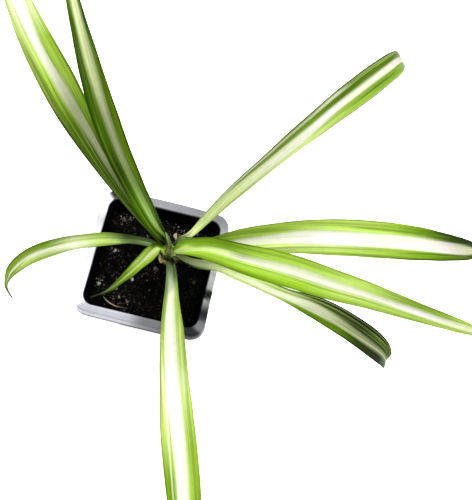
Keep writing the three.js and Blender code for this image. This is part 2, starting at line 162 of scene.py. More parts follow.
add_leaf(
    "leaf_back_right",
    points=[
        [2.5, 3.2, 8.5], [4.5, 5.5, 18], [12, 6, 32], [30.5, 24.5, 60], [50.5, 45, 78], [68.5, 66, 86],
        [85, 89.5, 85], [97.5, 111, 77], [107.3, 131.6, 65.5], [110.8, 142.3, 51.4], [106.4, 146.1, 45.5],
        [104.2, 145.4, 33],
    ],
    widths=[5.5, 6, 8, 10, 11, 15, 18, 18.9, 15.7, 8.7, 3.7],
    fold=[55, 38, 34, 24, -13],
    twist=[0, 0, 0, 0, 0, -5, -3, 19, -5],
    lean=twentieths(0, [-30, -50, -25, 0, 2, -4, 0, 8, 20, 22, 14, 11, 7, 1]),
    lean_right=twentieths(3, [5, 15, 22, 21, 16, 12, 0, -3, -2, 3, 4]),
    left="lemon lemon pale olive olive leaf moss moss moss dusk dusk",
    stripe="pale lemon lemon lemon cream cream white cream cream blush mist mist",
    right="pale lemon lime lemon lemon lime bright leaf leaf dusk forest",
    upper=[90, 90, 70, 42, 36, 36, 36, 34, 28, 20],
    lower=[-70, -70, -60, -55, -55, -14, -12, -16, -28, -30],
    glow=twentieths(0, [
        0.5, 1.1, 2.2, 1.5, 1.35, 1.28, 1.2, 1.12, 1.08, 1.05, 1, 0.98, 0.96, 0.96, 0.95, 0.95, 0.9, 0.85,
        0.9,
    ], 1),
    lines=[
        [78, 10, 22, 62, "cream", 85], [86, 3.5, 64, 84, "pale", 60], [98, 3.5, 18, 100, "ink", 75],
        [70, 4, 22, 50, "moss", 50], [-50, 6, 60, 80, "forest", 45], [74, 2, 50, 84, "lemon", 50],
        [-94, 6, 20, 85, "pale", 70], [-98, 3, 50, 86, "grey", 50], [5, 2.5, 20, 85, "pale", 40],
        [45, 3, 50, 84, "forest", 50], [50, 5, 16, 40, "sage", 60], [20, 4, 12, 45, "lime", 50],
        [-30, 5, 12, 42, "lime", 50], [-40, 50, 5.5, 10, "white", 70, 2], [-62, 5, 16, 42, "sage", 50],
        [62, 4, 50, 84, "forest", 40],
    ],
)
add_leaf(
    "leaf_right_upper",
    points=[
        [4.2, 1.4, 2.5], [9.5, 3, 9], [22.5, 3, 22], [45.5, 6.5, 38], [67, 10, 48], [92.5, 14.5, 53],
        [120.5, 21.5, 49], [145, 29, 40], [165, 37, 28], [182, 45, 14], [196, 52, -4],
    ],
    widths=[6, 10, 15.5, 19.5, 21.5, 22.5, 20.5, 16, 10, 1],
    fold=[55, 20, 14, 14, 12],
    lean=twentieths(4, [2, 0, -4, -2, 1, 3, 2, 1, 2, 2, 4, 3, 4, 3, 2]),
    lean_right=twentieths(8, [2, 5, 1, 0, 0, 3, 5, 12, 16, 20, 14, 5]),
    left="leaf leaf bright bright fresh fresh bright leaf forest deep moss",
    stripe="lemon lemon cream cream white cream cream blush pale pale",
    right="bright bright fresh lime lime fresh bright leaf moss deep moss",
    upper=[30, 30, 24, 36, 34, 40, 38, 34, 5],
    lower=[-40, -38, -36, -42, -40, -38, -48, -56, -5],
    glow=[1, 1, 1.1, 1.1, 1.1, 1.12, 1.1, 1.05, 0.82, 0.8, 0.9],
    lines=[
        [98, 3, 20, 60, "ink", 60], [86, 4, 20, 60, "lime", 35], [60, 5, 50, 90, "forest", 50],
        [-62, 5, 62, 90, "forest", 60], [-96, 4, 60, 95, "ink", 70], [90, 8, 74, 95, "ink", 70],
        [5, 3, 30, 90, "blush", 50], [-20, 3, 45, 90, "blush", 50],
    ],
)
add_leaf(
    "leaf_right_long",
    points=[
        [3, -1.8, 11.8], [7, -3, 18], [14.5, -5, 30], [26, -8, 44], [49.5, -15, 61], [71, -19, 70],
        [92.5, -21, 71], [114.5, -19, 64], [139, -17, 52], [164.5, -13, 36], [187, -8.5, 20],
        [209, -4, 2],
    ],
    widths=[8, 16, 18, 21, 19.5, 17, 13, 9.5, 6, 1],
    fold=[55, 20, 14, 14, 12],
    lean=twentieths(0, [-30, 40, 5, 0, 0, 0, 0, 0, 2, 2, -2, -7, -8, -1, 4, 7, 12, 15, 10, 5]),
    lean_right=twentieths(10, [1, 2, 2, 2, 1, 5, 12, 18, 12, 5]),
    left="leaf acid leaf bright bright fresh fresh bright bright lime leaf",
    stripe="lemon lemon cream cream cream cream cream white cream lemon pale",
    right="olive acid acid acid acid fresh fresh fresh lime lime leaf",
    upper=[50, 34, 26, 28, 34, 30, 24, 30, 34, 40, 5],
    lower=[19, 12, -4, -10, -16, -20, -24, -30, -36, -46, -5],
    soft=20,
    glow=twentieths(0, [
        2.6, 1.75, 1.42, 1.22, 1.12, 1.12, 1.15, 1.12, 1.05, 1, 0.96, 0.92, 0.88, 0.84, 0.82, 0.82, 0.84,
        0.9, 0.95,
    ], 1),
    lines=[
        [-35, 6, 16, 40, "lime", 60], [-50, 4, 16, 40, "fresh", 50], [97, 5, 5, 30, "deep", 60],
        [97, 4, 45, 70, "forest", 50], [-95, 5, 10, 50, "moss", 60], [70, 5, 10, 50, "moss", 35],
        # The two sun lines near the foot are painted light on the half that turns from the light
        [-90, 5, 50, 90, "leaf", 40], [20, 16, 5, 22, "sun", 95, 3], [40, 12, 2, 8, "sun", 60, 2],
        [-85, 20, 2, 8, "pale", 90, 1.5], [90, 10, 2, 10, "dusk", 50, 2],
    ],
)
add_leaf(
    "leaf_right_lower",
    points=[
        [4.3, -1.9, 7.2], [8.5, -4.5, 11], [18.5, -9.5, 18], [36.5, -12, 29], [65, -21, 40],
        [87, -27, 44], [104.5, -31.5, 42], [124.5, -36, 34], [135, -37.7, 26.3], [139.8, -38.5, 17.2],
        [135.2, -30.7, 8.5], [133.6, -25.9, -0.3],
    ],
    widths=[6.5, 8, 8.5, 9, 10.5, 17, 20, 17.9, 8.9, 1.5],
    fold=[55, 34, 30, 25, -2],
    twist=[0, 0, 0, 0, 0, 0, 3, 13, -6],
    lean=twentieths(2, [20, 30, 30, 10, 0, 0, 0, 0, 0, 0, -1, -3, -2, 0, -3, -7]),
    lean_right=twentieths(1, [-35, -85, -80, -35, 20, 17, 5, 2, 1, 0, -4, -3, -6, -2, 0, -1, -4, -8]),
    left="dusk mist mist lime leaf forest deep deep forest dusk mist",
    stripe="grey mist lemon cream cream cream lemon mist mist mist",
    right="deep shadow pale lime lemon leaf moss deep ink dusk mist",
    upper=[50, 50, 40, 44, 50, 36, 24, 18, 20],
    lower=[-20, -20, -50, -60, -45, -26, -16, -16, -20],
    glow=[2.4, 1.4, 1.35, 1.35, 1.5, 1.8, 1.75, 1.1, 1.05, 1, 1],
    lines=[
        [70, 3, 46, 80, "lime", 70], [46, 3, 50, 85, "pale", 60], [58, 5, 48, 80, "olive", 50],
        [10, 3, 62, 90, "shadow", 60], [-88, 6, 20, 45, "cream", 60], [97, 4, 40, 90, "ink", 80],
        [-97, 4, 50, 90, "ink", 80], [-30, 3, 70, 86, "grey", 60], [84, 5, 50, 80, "ink", 60],
        [88, 2.5, 50, 84, "pale", 70], [66, 2, 50, 80, "pale", 60], [70, 14, 34, 50, "pale", 70],
        # The deep line near the foot is painted shade in the fold
        [-15, 30, 9, 15, "deep", 90, 1.5],
    ],
)
add_leaf(
    "leaf_front",
    points=[
        [0, -4.8, 3.4], [3, -9, 10.5], [9, -30, 29], [15.5, -58, 43], [22.5, -82.5, 51], [30, -106.5, 54],
        [37.5, -127.5, 51], [44.5, -147.5, 42], [51, -169, 24], [58, -191, -4],
    ],
    widths=[7, 8, 11.5, 14.5, 17, 19.5, 19.5, 16.5, 10, 1],
    fold=[55, 18, 12, 12, 12],
    lean=twentieths(3, [-15, -22, -12, 0, -2, -4, -5, -4, -5, -6, -5, -2]),
    lean_right=twentieths(8, [2, 1, 2, 3, 4, 4, 5, 3]),
    left="dusk dusk fresh lime lime lime bright bright leaf leaf leaf",
    stripe="dusk mist cream cream white cream cream cream pale",
    right="dusk grey sage lime lemon lime leaf leaf leaf leaf",
    upper=[30, 28, 26, 28, 30, 32, 32, 30, 5],
    lower=[-50, -55, -60, -62, -56, -42, -40, -30, -5],
    glow=twentieths(0, [
        3, 2.2, 1.8, 1.4, 1.25, 1.12, 1.1, 1.1, 1.12, 1.22, 1.3, 1.32, 1.35, 1.4, 1.4, 1.3, 1.3, 1.3, 1.2,
    ], 1),
    shade=[13, 20],
    lines=[
        [-50, 3, 50, 100, "leaf", 70], [-62, 3.5, 50, 95, "cream", 80], [2, 2, 60, 90, "blush", 50],
        [-20, 2, 45, 90, "pale", 50], [97, 4, 20, 90, "moss", 50], [-97, 4, 25, 90, "brown", 50],
        # The lemon patch midway along is a painted highlight, and the ink line at the foot is painted
        # shade
        [60, 35, 42, 47, "lemon", 80], [70, 5, 20, 40, "lime", 40], [75, 50, 0, 5.5, "ink", 140, 1],
        [25, 30, 13, 20, "cream", 60, 2],
    ],
)
add_leaf(
    "leaf_left_narrow",
    points=[
        [-4.4, 0.2, 2.2], [-9, 2, 7.2], [-19.5, -1.5, 17], [-39, -9.5, 28], [-53.5, -16.5, 32],
        [-65, -22, 30], [-77, -28, 23], [-85, -33.5, 12], [-90.5, -37, -2], [-92, -40, -12],
        [-89, -43, -22],
    ],
    widths=[5, 6, 7.5, 9, 8.5, 9, 8, 6.5, 3, 1],
    fold=[50, 28, 24, 26, 34],
    lean=twentieths(3, [-20, -30, -12, 0, 5, 14, 20, 26, 27, 30, 27, 16, 0, -9, -9, -15]),
    lean_right=twentieths(7, [-7, -8, 1, 4, 10, 12, 16, 26, 30, 26, 15, 10]),
    left="sage grey sage fresh cream pale lime olive grey brown",
    stripe="grey sage sage lime cream lemon lemon lemon lemon brown",
    right="sage dusk dusk fresh pale leaf olive moss olive brown",
    upper=[35, 35, 40, 45, 42, 26, 2, -12, 5],
    lower=[-25, -25, -15, 10, 12, 2, -20, -30, -5],
    glow=[2.1, 2.15, 1.3, 1.1, 1.15, 1.15, 1.4, 1.6, 1.4, 1],
    shade=[24, 24],
    lines=[
        [60, 5, 24, 50, "lemon", 50], [-40, 4, 24, 50, "lemon", 40], [97, 5, 10, 40, "shadow", 60],
        [-97, 5, 45, 90, "forest", 60], [50, 5, 62, 85, "sage", 50], [-70, 6, 50, 85, "leaf", 50],
        [95, 5, 66, 88, "dusk", 60], [95, 14, 63.3, 63.4, "deep", 100], [18, 14, 50, 66, "cream", 90],
        [-5, 14, 56, 76, "cream", 90], [-12, 14, 68, 90, "cream", 80], [86, 20, 46, 66, "leaf", 70],
    ],
)
add_leaf(
    "leaf_front_left_short",
    points=[
        [-3, -2.7, 8.5], [-4.2, -3.2, 14], [-7.5, -4, 20], [-13.5, -16.5, 22], [-21.5, -28, 19],
        [-29.5, -35.5, 13], [-39, -40, 7],
    ],
    widths=[5.5, 8, 9.5, 9.5, 7, 4, 1.5, 1],
    fold=[50, 34, 28, 28, 28],
    lean=twentieths(0, [-30, -50, -50, -40, -20, 0, 0, -10, -30, -36, -34, -30, -36, -40, -30]),
    lean_right=twentieths(2, [-20, -40, -35, -15]),
    left="pale lime lime bright acid leaf leaf moss shadow shadow",
    stripe="acid lime lemon lemon lime lime fresh sage grey grey",
    right="acid acid acid fresh fresh leaf olive grey shadow shadow",
    upper=[50, 50, 36, 24, 16, 4, 10],
    lower=[10, 0, -16, -28, -30, -34, -10],
    soft=26,
    glow=twentieths(0, [4.2, 4, 3.2, 1.8, 1.15, 1, 0.98, 1, 0.98], 1),
    sheath=4.6,
    lines=[
        [95, 6, 25, 90, "moss", 60], [-95, 6, 25, 90, "forest", 70], [55, 6, 40, 80, "moss", 35],
        # The ink line near the foot is painted shade
        [-75, 42, 10, 24, "ink", 120, 2],
    ],
)
add_leaf(
    "leaf_young_spear",
    points=[[0.3, 0.4, 9], [-0.4, 0.8, 15], [-1, 1, 20], [-2, 1, 27], [-3.2, 1, 34]],
    widths=[2.6, 2.8, 3, 2.4, 1],
    fold=[60, 60, 54, 28],
    left="olive grey mist mist grey",
    stripe="olive mist pale mist sage",
    right="olive sage grey grey dusk",
    upper=[30, 30, 20],
    lower=[-30, -30, -20],
    glow=[1.7, 1.6],
)

HUSK = dict(
    name="dry_leaf_scale",
    points=[[-3.2, -4, 1.8], [-3.8, -5.8, 4.2], [-3.8, -7, 5.8], [-3.5, -8.2, 6.8]],
    widths=[5, 6, 4.6, 1.4],
    fold=[40, 34, 30],
    left="husk root tan",
    stripe="brown tan husk",
    right="husk root husk",
    upper=[30, 30, 20],
    lower=[-30, -30, -20],
    # The husk's light factor is painted light, which lifts it where it lies in shade
    glow=[2.4, 3, 3.2],
    lines=[[10, 10, 0, 100, "brown", 80], [-60, 5, 0, 100, "brown", 50]],
)


# Helpers
SRGB_POWER = 2.4
HASH_FACTORS = (374761393, 668265263, 974634777, 1274126177)
HASH_MASK = 0xFFFFFFFF
HASH_LEVELS = 0xFFFF
CURVE_SAMPLES = 60


def linear(rgb):
    """A colour as it should look in the light, as the surface's own colour."""
    c = np.array(rgb, float) / 255
    low = c / 12.92
    high = ((c + 0.055) / 1.055) ** SRGB_POWER
    return np.where(c <= 0.04045, low, high) ** VIEW_GAMMA / LIGHT_GAIN


def smoothstep(low, high, x):
    t = np.clip((x - low) / (high - low), 0, 1)
    return t * t * (3 - 2 * t)


def value_noise(x, y, seed):
    """Smooth random values from 0 to 1 on a plane; adding to x, y or seed moves the pattern."""
    x, y = np.asarray(x, float), np.asarray(y, float)
    i, j = np.floor(x).astype(np.int64), np.floor(y).astype(np.int64)
    s, t = smoothstep(0, 1, x - i), smoothstep(0, 1, y - j)
    by_x, by_y, by_seed, by_mix = HASH_FACTORS

    def corner(a, b):
        n = (a * by_x + b * by_y + seed * by_seed) & HASH_MASK
        n = ((n ^ (n >> 13)) * by_mix) & HASH_MASK
        return ((n ^ (n >> 16)) & HASH_LEVELS) / HASH_LEVELS

    low = corner(i, j) * (1 - s) + corner(i + 1, j) * s
    high = corner(i, j + 1) * (1 - s) + corner(i + 1, j + 1) * s
    return low * (1 - t) + high * t


def between(count, u):
    """Which of count evenly spaced values comes before u, and the share of the way on."""
    x = np.clip(u, 0, 1) * (count - 1)
    before = np.minimum(np.floor(x).astype(int), count - 2)
    return before, x - before


def along(values, u):
    """Values at u, from 0 to 1, on a smooth line through evenly spaced values."""
    p = np.array(values, float)
    i, t = between(len(p), u)
    padded = np.concatenate([[2 * p[0] - p[1]], p, [2 * p[-1] - p[-2]]])
    p0, p1, p2, p3 = (padded[i + k] for k in range(4))
    a, b = (p2 - p0) / 2, (p3 - p1) / 2
    return ((2 * t**3 - 3 * t**2 + 1) * p1 + (t**3 - 2 * t**2 + t) * a
            + (3 * t**2 - 2 * t**3) * p2 + (t**3 - t**2) * b)


def tones(names, u):
    """Colours at u, from 0 to 1, between evenly spaced names of the palette."""
    keys = np.array([linear(PALETTE[name]) for name in names.split()])
    i, t = between(len(keys), u)
    t = t[..., None]
    return keys[i] * (1 - t) + keys[i + 1] * t


def curve_through(points):
    """Centripetal Catmull-Rom curve through the points."""
    p = [np.array(point, float) for point in points]
    p = [2 * p[0] - p[1]] + p + [2 * p[-1] - p[-2]]
    out = []
    s = np.linspace(0, 1, CURVE_SAMPLES, endpoint=False)[:, None]
    for a, b, c, d in zip(p, p[1:], p[2:], p[3:]):
        ab, bc, cd = (np.sum((q - r) ** 2) ** 0.25 for q, r in ((b, a), (c, b), (d, c)))
        m = ((b - a) / ab - (c - a) / (ab + bc) + (c - b) / bc) * bc
        n = ((c - b) / bc - (d - b) / (bc + cd) + (d - c) / cd) * bc
        out.append(b + m * s + (3 * (c - b) - 2 * m - n) * s**2 + (2 * (b - c) + m + n) * s**3)
    out.append(p[-2][None])
    return np.concatenate(out)


def carried_frames(points, spacing):
    """Evenly spaced places on the curve, with side and up directions that don't twist."""
    curve = curve_through(points)
    run = np.concatenate([[0], np.cumsum(np.linalg.norm(np.diff(curve, axis=0), axis=1))])
    length = run[-1]
    u = np.linspace(0, 1, max(8, int(round(length / spacing))) + 1)

    def at(where):
        return np.stack([np.interp(where * length, run, curve[:, k]) for k in range(3)], axis=1)

    nudge = 0.001
    forward = at(np.minimum(u + nudge, 1)) - at(np.maximum(u - nudge, 0))
    forward /= np.linalg.norm(forward, axis=1)[:, None]
    side = np.zeros_like(forward)
    side[0] = np.cross([0, 0, 1], forward[0])
    for i in range(1, len(u)):
        side[i] = side[i - 1] - forward[i] * side[i - 1].dot(forward[i])
        side[i] /= np.linalg.norm(side[i])
    side[0] /= np.linalg.norm(side[0])
    return u, at(u), side, np.cross(forward, side), length


def paint(mesh, colours):
    """Gives each vertex its colour."""
    layer = mesh.color_attributes.new(name="Tint", type="FLOAT_COLOR", domain="POINT")
    rgba = np.ones((len(colours), 4))
    rgba[:, :3] = colours
    layer.data.foreach_set("color", rgba.ravel())


def new_piece(name, vertices, faces, colours=None, uv=None, smooth=True):
    """An object from vertices, with a colour and a place on the map for each of them."""
    mesh = bpy.data.meshes.new(name)
    mesh.from_pydata((np.asarray(vertices) * MM).tolist(), [], [list(map(int, f)) for f in faces])
    if colours is not None:
        paint(mesh, colours)
    if uv is not None:
        layer = mesh.uv_layers.new(name="BladeMap")
        corners = np.zeros(len(mesh.loops), dtype=np.int32)
        mesh.loops.foreach_get("vertex_index", corners)
        layer.data.foreach_set("uv", np.asarray(uv)[corners].ravel())
    mesh.polygons.foreach_set("use_smooth", [smooth] * len(mesh.polygons))
    mesh.update()
    piece = bpy.data.objects.new(name, mesh)
    bpy.context.scene.collection.objects.link(piece)
    return piece


def full_turn(sides):
    return np.linspace(0, 2 * math.pi, sides, endpoint=False)


def ring(radius, turn, z):
    """Points around the z axis at one height."""
    return np.stack([radius * np.cos(turn), radius * np.sin(turn), 0 * turn + z], axis=1)


def lofted(loops):
    """Vertices and faces of a closed body through loops with the same number of points."""
    count = len(loops[0])
    faces = []
    for k in range(len(loops) - 1):
        for i in range(count):
            a, b = k * count + i, k * count + (i + 1) % count
            faces.append((a, b, b + count, a + count))
    first, last = len(loops) * count, len(loops) * count + 1
    top = (len(loops) - 1) * count
    for i in range(count):
        j = (i + 1) % count
        faces.append((first, j, i))
        faces.append((last, top + i, top + j))
    ends = np.array([loops[0].mean(axis=0), loops[-1].mean(axis=0)])
    return np.concatenate([*loops, ends]), faces


def tube(points, radii, sides, spacing):
    """A round body that follows a curve, with its radius spread along it."""
    u, at, side, up, _ = carried_frames(points, spacing)
    radius = along(radii, u)
    turn = full_turn(sides)[:, None]
    return lofted([
        at[i] + radius[i] * (np.cos(turn) * side[i] + np.sin(turn) * up[i]) for i in range(len(u))
    ])


def tinted(body, colour):
    """A body's vertices and faces, with the same colour for each vertex."""
    vertices, faces = body
    return vertices, faces, np.tile(colour, (len(vertices), 1))


def joined(parts):
    """One mesh from several lists of vertices, faces and colours."""
    faces, offset = [], 0
    for part_vertices, part_faces, _ in parts:
        faces.extend(tuple(i + offset for i in face) for face in part_faces)
        offset += len(part_vertices)
    return np.concatenate([part[0] for part in parts]), faces, np.concatenate([part[2] for part in parts])


# Materials

# Most of a noise's values lie in this range. The scales of the noises and the distances of
# the bumps are in metres.
NOISE_RANGE = (0.3, 0.7)


class Nodes:
    """A material with short calls for its nodes."""

    def __init__(self, name):
        self.material = bpy.data.materials.new(name)
        self.material.use_nodes = True
        self.tree = self.material.node_tree
        self.shader = self.tree.nodes["Principled BSDF"]

    def feed(self, socket, value):
        """Gives an input a number, a colour or another node's output."""
        if hasattr(value, "links"):
            self.tree.links.new(value, socket)
        else:
            socket.default_value = value

    def feed_all(self, node, inputs):
        """Feeds a node's inputs, whose names are given with _ for each space."""
        for key, value in inputs.items():
            self.feed(node.inputs[key.replace("_", " ")], value)

    def node(self, kind, output, settings=None, **inputs):
        """A new node's output."""
        node = self.tree.nodes.new(kind)
        for key, value in (settings or {}).items():
            setattr(node, key, value)
        self.feed_all(node, inputs)
        return node.outputs[output]

    def mapped(self, coordinate, scale=(1, 1, 1)):
        place = self.node("ShaderNodeTexCoord", coordinate)
        return self.node("ShaderNodeMapping", "Vector", Vector=place, Scale=scale)

    def noise(self, vector, scale, detail=2.0, roughness=0.5):
        inputs = {"Vector": vector, "Scale": scale, "Detail": detail, "Roughness": roughness}
        return self.node("ShaderNodeTexNoise", "Fac", **inputs)

    def spread(self, value, low, high, source=NOISE_RANGE):
        """A value from the source's range, stretched to the one from low to high."""
        ends = {"From_Min": source[0], "From_Max": source[1], "To_Min": low, "To_Max": high}
        return self.node("ShaderNodeMapRange", "Result", Value=value, **ends)

    def math(self, operation, a, b):
        node = self.tree.nodes.new("ShaderNodeMath")
        node.operation = operation
        self.feed(node.inputs[0], a)
        self.feed(node.inputs[1], b)
        return node.outputs[0]

    def scaled(self, colour, factor):
        """A colour made lighter or darker by a factor."""
        scale = {"operation": "SCALE"}
        return self.node("ShaderNodeVectorMath", "Vector", scale, Vector=colour, Scale=factor)

    def tint(self):
        """The colour of each vertex."""
        return self.node("ShaderNodeAttribute", "Color", {"attribute_name": "Tint"})

    def bump(self, height, strength, distance):
        normal = self.node("ShaderNodeBump", "Normal", Height=height, Strength=strength, Distance=distance)
        self.feed(self.shader.inputs["Normal"], normal)

    def finish(self, **inputs):
        """Feeds the surface shader and gives the material."""
        self.feed_all(self.shader, inputs)
        return self.material


def leaf_material(name, roughness):
    """Plant tissue with fine veins along the blade's map."""
    nodes = Nodes(name)
    veins = nodes.noise(nodes.mapped("UV", (1.2, 190, 1)), 1.0, detail=3.0, roughness=0.6)
    fine = nodes.noise(nodes.mapped("UV", (3.0, 420, 1)), 1.0)
    mottle = nodes.noise(nodes.mapped("Object"), 260, detail=3.0, roughness=0.6)
    streak = nodes.math("ADD", nodes.spread(veins, 0.92, 1.08), nodes.spread(fine, -0.04, 0.04))
    shade = nodes.math("MULTIPLY", streak, nodes.spread(mottle, 0.97, 1.03, (0.35, 0.65)))
    nodes.bump(nodes.math("ADD", veins, fine), strength=0.35, distance=0.00008)
    return nodes.finish(
        Base_Color=nodes.scaled(nodes.tint(), shade),
        Roughness=nodes.spread(veins, roughness - 0.04, roughness + 0.06),
        Specular_IOR_Level=0.035,
    )


def grain_material(name, scale, roughness, specular, depth, low=0.75, high=1.2):
    """Rough stuff, whose colour and shine change from grain to grain."""
    nodes = Nodes(name)
    grain = nodes.noise(nodes.mapped("Object"), scale, detail=5.0, roughness=0.65)
    nodes.bump(grain, strength=0.6, distance=depth)
    return nodes.finish(
        Base_Color=nodes.scaled(nodes.tint(), nodes.spread(grain, low, high)),
        Roughness=nodes.spread(grain, roughness - 0.08, min(roughness + 0.08, 1.0)),
        Specular_IOR_Level=specular,
    )


def pot_material():
    """Black plastic with a faint film and scuffs that run sideways."""
    nodes = Nodes("pot_plastic")
    film_and_sheen = nodes.noise(nodes.mapped("Object", (1, 1, 0.6)), 160, detail=4.0, roughness=0.6)
    scuff = nodes.noise(nodes.mapped("Object", (0.35, 1, 1)), 900, detail=3.0, roughness=0.6)
    nodes.bump(film_and_sheen, strength=0.25, distance=0.00012)
    wear = nodes.spread(nodes.math("ADD", film_and_sheen, scuff), 0.93, 1.07, (0.7, 1.3))
    return nodes.finish(
        Base_Color=nodes.scaled(nodes.tint(), wear),
        Roughness=nodes.spread(film_and_sheen, 0.24, 0.36),
        Specular_IOR_Level=0.025,
    )


LEAF = leaf_material("spider_leaf", roughness=0.4)
DRY = grain_material("dry_tissue", scale=900, roughness=0.75, specular=0.3, depth=0.0002)
CROWN = leaf_material("crown_flesh", roughness=0.45)
PERLITE = grain_material("perlite_grain", 1400, 0.85, 0.25, depth=0.0003, low=0.85, high=1.1)
BARK = grain_material("bark_grain", 1100, 0.8, 0.2, depth=0.0003)
SOIL = grain_material("peat_soil", 1300, 0.92, 0.06, depth=0.0004, low=0.5, high=1.5)
POT = pot_material()


def place(piece, material, slot, *nodes):
    """Gives a piece its material and body and hides the nodes it stands for; the slot is not used."""
    piece.data.materials.append(material)
    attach(piece, "root")
    if nodes:
        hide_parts(*nodes)
    return piece


# Leaves
COLUMNS = 56
ROW_SPACING = 1.5
LEAF_SEED = 11
HUSK_SEED = 31
HUSK_COLUMNS = 16
HUSK_ROW_SPACING = 0.5
MIN_WIDTH = 0.8
CREASE = 0.3
ARCH = 0.06
VEIN_SPACING = 1.25
VEIN_HEIGHT = 0.035
RIPPLE_HEIGHT = 0.35
RIPPLE_LENGTH = 26
MIDRIB_THICKNESS = 0.62
EDGE_THICKNESS = 0.3
KEEL_HEIGHT = 0.35
KEEL_WIDTH = 0.7
TIP_THICKNESS = 1.2
MAP_SIZE = 100

# Parts of a blade's length over which it opens, closes again and loses its keel
OPENS = (0.03, 0.2)
CLOSES = (0.93, 1)
KEEL_ENDS = (0.75, 1)

# Streaks of colour: their length and width, and how strongly they show in the bands and in
# the stripe. The stripe's edges and the lines sway by a share of the half width. The stripe's
# softness and the lines' ease are in percent, as in the leaves' own values.
WIDE_STREAKS = (60, 1.7)
NARROW_STREAKS = (34, 0.6)
BAND_STREAKS = 0.26
STRIPE_STREAKS = 0.04
SWAY = 0.05
SWAY_LENGTH = 28
STRIPE_RAGGEDNESS = 0.1
STRIPE_SOFTNESS = 14
SIDE_SOFTNESS = 0.05
LINE_EASE = 4
SHADE_EASE = 0.02

# Red, green and blue lost at the blade's edge and in the shadow of other leaves
EDGE_DARKENING = np.array([0.3, 0.25, 0.5])
SHADE_DEPTH = np.array([0.3, 0.25, 0.2])

# Where the dark edge begins, the lightest colour that a surface may have, and how much of
# its colour and of a pale green the underside has
EDGE_BEGINS = 0.55
LIGHTEST = 0.92
UNDERSIDE_LIGHT = 0.72
UNDERSIDE_PALE = 0.2


def shares(percents):
    return [percent / 100 for percent in percents]


def within(low, high, x, soft):
    """1 between low and high and 0 outside, with soft ends."""
    return smoothstep(low - soft, low + soft, x) * (1 - smoothstep(high - soft, high + soft, x))


def blade_colours(leaf, u, v, half, length, seed):
    """Colour of the upper face at every row and column."""
    rows, columns = u[:, None], v[None, :]
    run, across = rows * length, columns * half
    wide = value_noise(run / WIDE_STREAKS[0], across / WIDE_STREAKS[1] + 20, seed) - 0.5
    narrow = value_noise(run / NARROW_STREAKS[0], across / NARROW_STREAKS[1] + 40, seed + 60) - 0.5
    streaks = 2 * (wide + narrow)[..., None]
    sway = SWAY * (value_noise(run / SWAY_LENGTH, 0 * rows, seed) - 0.5)

    upper, lower = (along(shares(leaf[key]), u)[:, None] for key in ("upper", "lower"))
    soft = leaf.get("soft", STRIPE_SOFTNESS) / 100
    stripe = within(lower, upper, columns - sway + STRIPE_RAGGEDNESS * narrow, soft)[..., None]
    middle = (upper + lower) / 2
    left = smoothstep(middle - SIDE_SOFTNESS, middle + SIDE_SOFTNESS, columns)[..., None]
    band = tones(leaf["left"], u)[:, None] * left + tones(leaf["right"], u)[:, None] * (1 - left)
    outward = smoothstep(EDGE_BEGINS, 1, np.abs(columns))[..., None]
    band = band * (1 - outward * EDGE_DARKENING) * (1 + BAND_STREAKS * streaks)
    inner = tones(leaf["stripe"], u)[:, None] * (1 + STRIPE_STREAKS * streaks)
    colour = band * (1 - stripe) + inner * stripe

    for *place, tone, strength, ease in ([*row, LINE_EASE][:7] for row in leaf.get("lines", [])):
        centre, width, start, end, strength, ease = shares([*place, strength, ease])
        mask = np.exp(-(((columns - centre - sway) / width) ** 2)) * within(start, end, rows, ease)
        mask = np.clip(mask * strength * (1 + wide), 0, 1)[..., None]
        colour = colour * (1 - mask) + linear(PALETTE[tone]) * mask
    # Painted light and painted shade: the factor along the blade brightens or darkens its colour
    colour = colour * along(leaf.get("glow", [1, 1]), u)[:, None, None]
    if "shade" in leaf:
        left_end, right_end = shares(leaf["shade"])
        edge = left_end + (right_end - left_end) * (1 - columns) / 2
        shade = 1 - smoothstep(edge - SHADE_EASE, edge + SHADE_EASE, rows)
        colour = colour * (1 - shade[..., None] * SHADE_DEPTH)
    return np.clip(colour, 0, LIGHTEST)


def blade_faces(rows, columns):
    """Faces of a thin strip: its upper and lower side, its two edges and its two ends."""
    count = columns + 1
    under = rows * count
    faces = []
    for i in range(rows - 1):
        a, b = i * count, (i + 1) * count
        for j in range(columns):
            faces.append((a + j, b + j, b + j + 1, a + j + 1))
            faces.append((under + a + j, under + a + j + 1, under + b + j + 1, under + b + j))
        faces.append((a + columns, b + columns, under + b + columns, under + a + columns))
        faces.append((under + a, under + b, b, a))
    end = (rows - 1) * count
    for j in range(columns):
        faces.append((j, j + 1, under + j + 1, under + j))
        faces.append((under + end + j, under + end + j + 1, end + j + 1, end + j))
    return faces


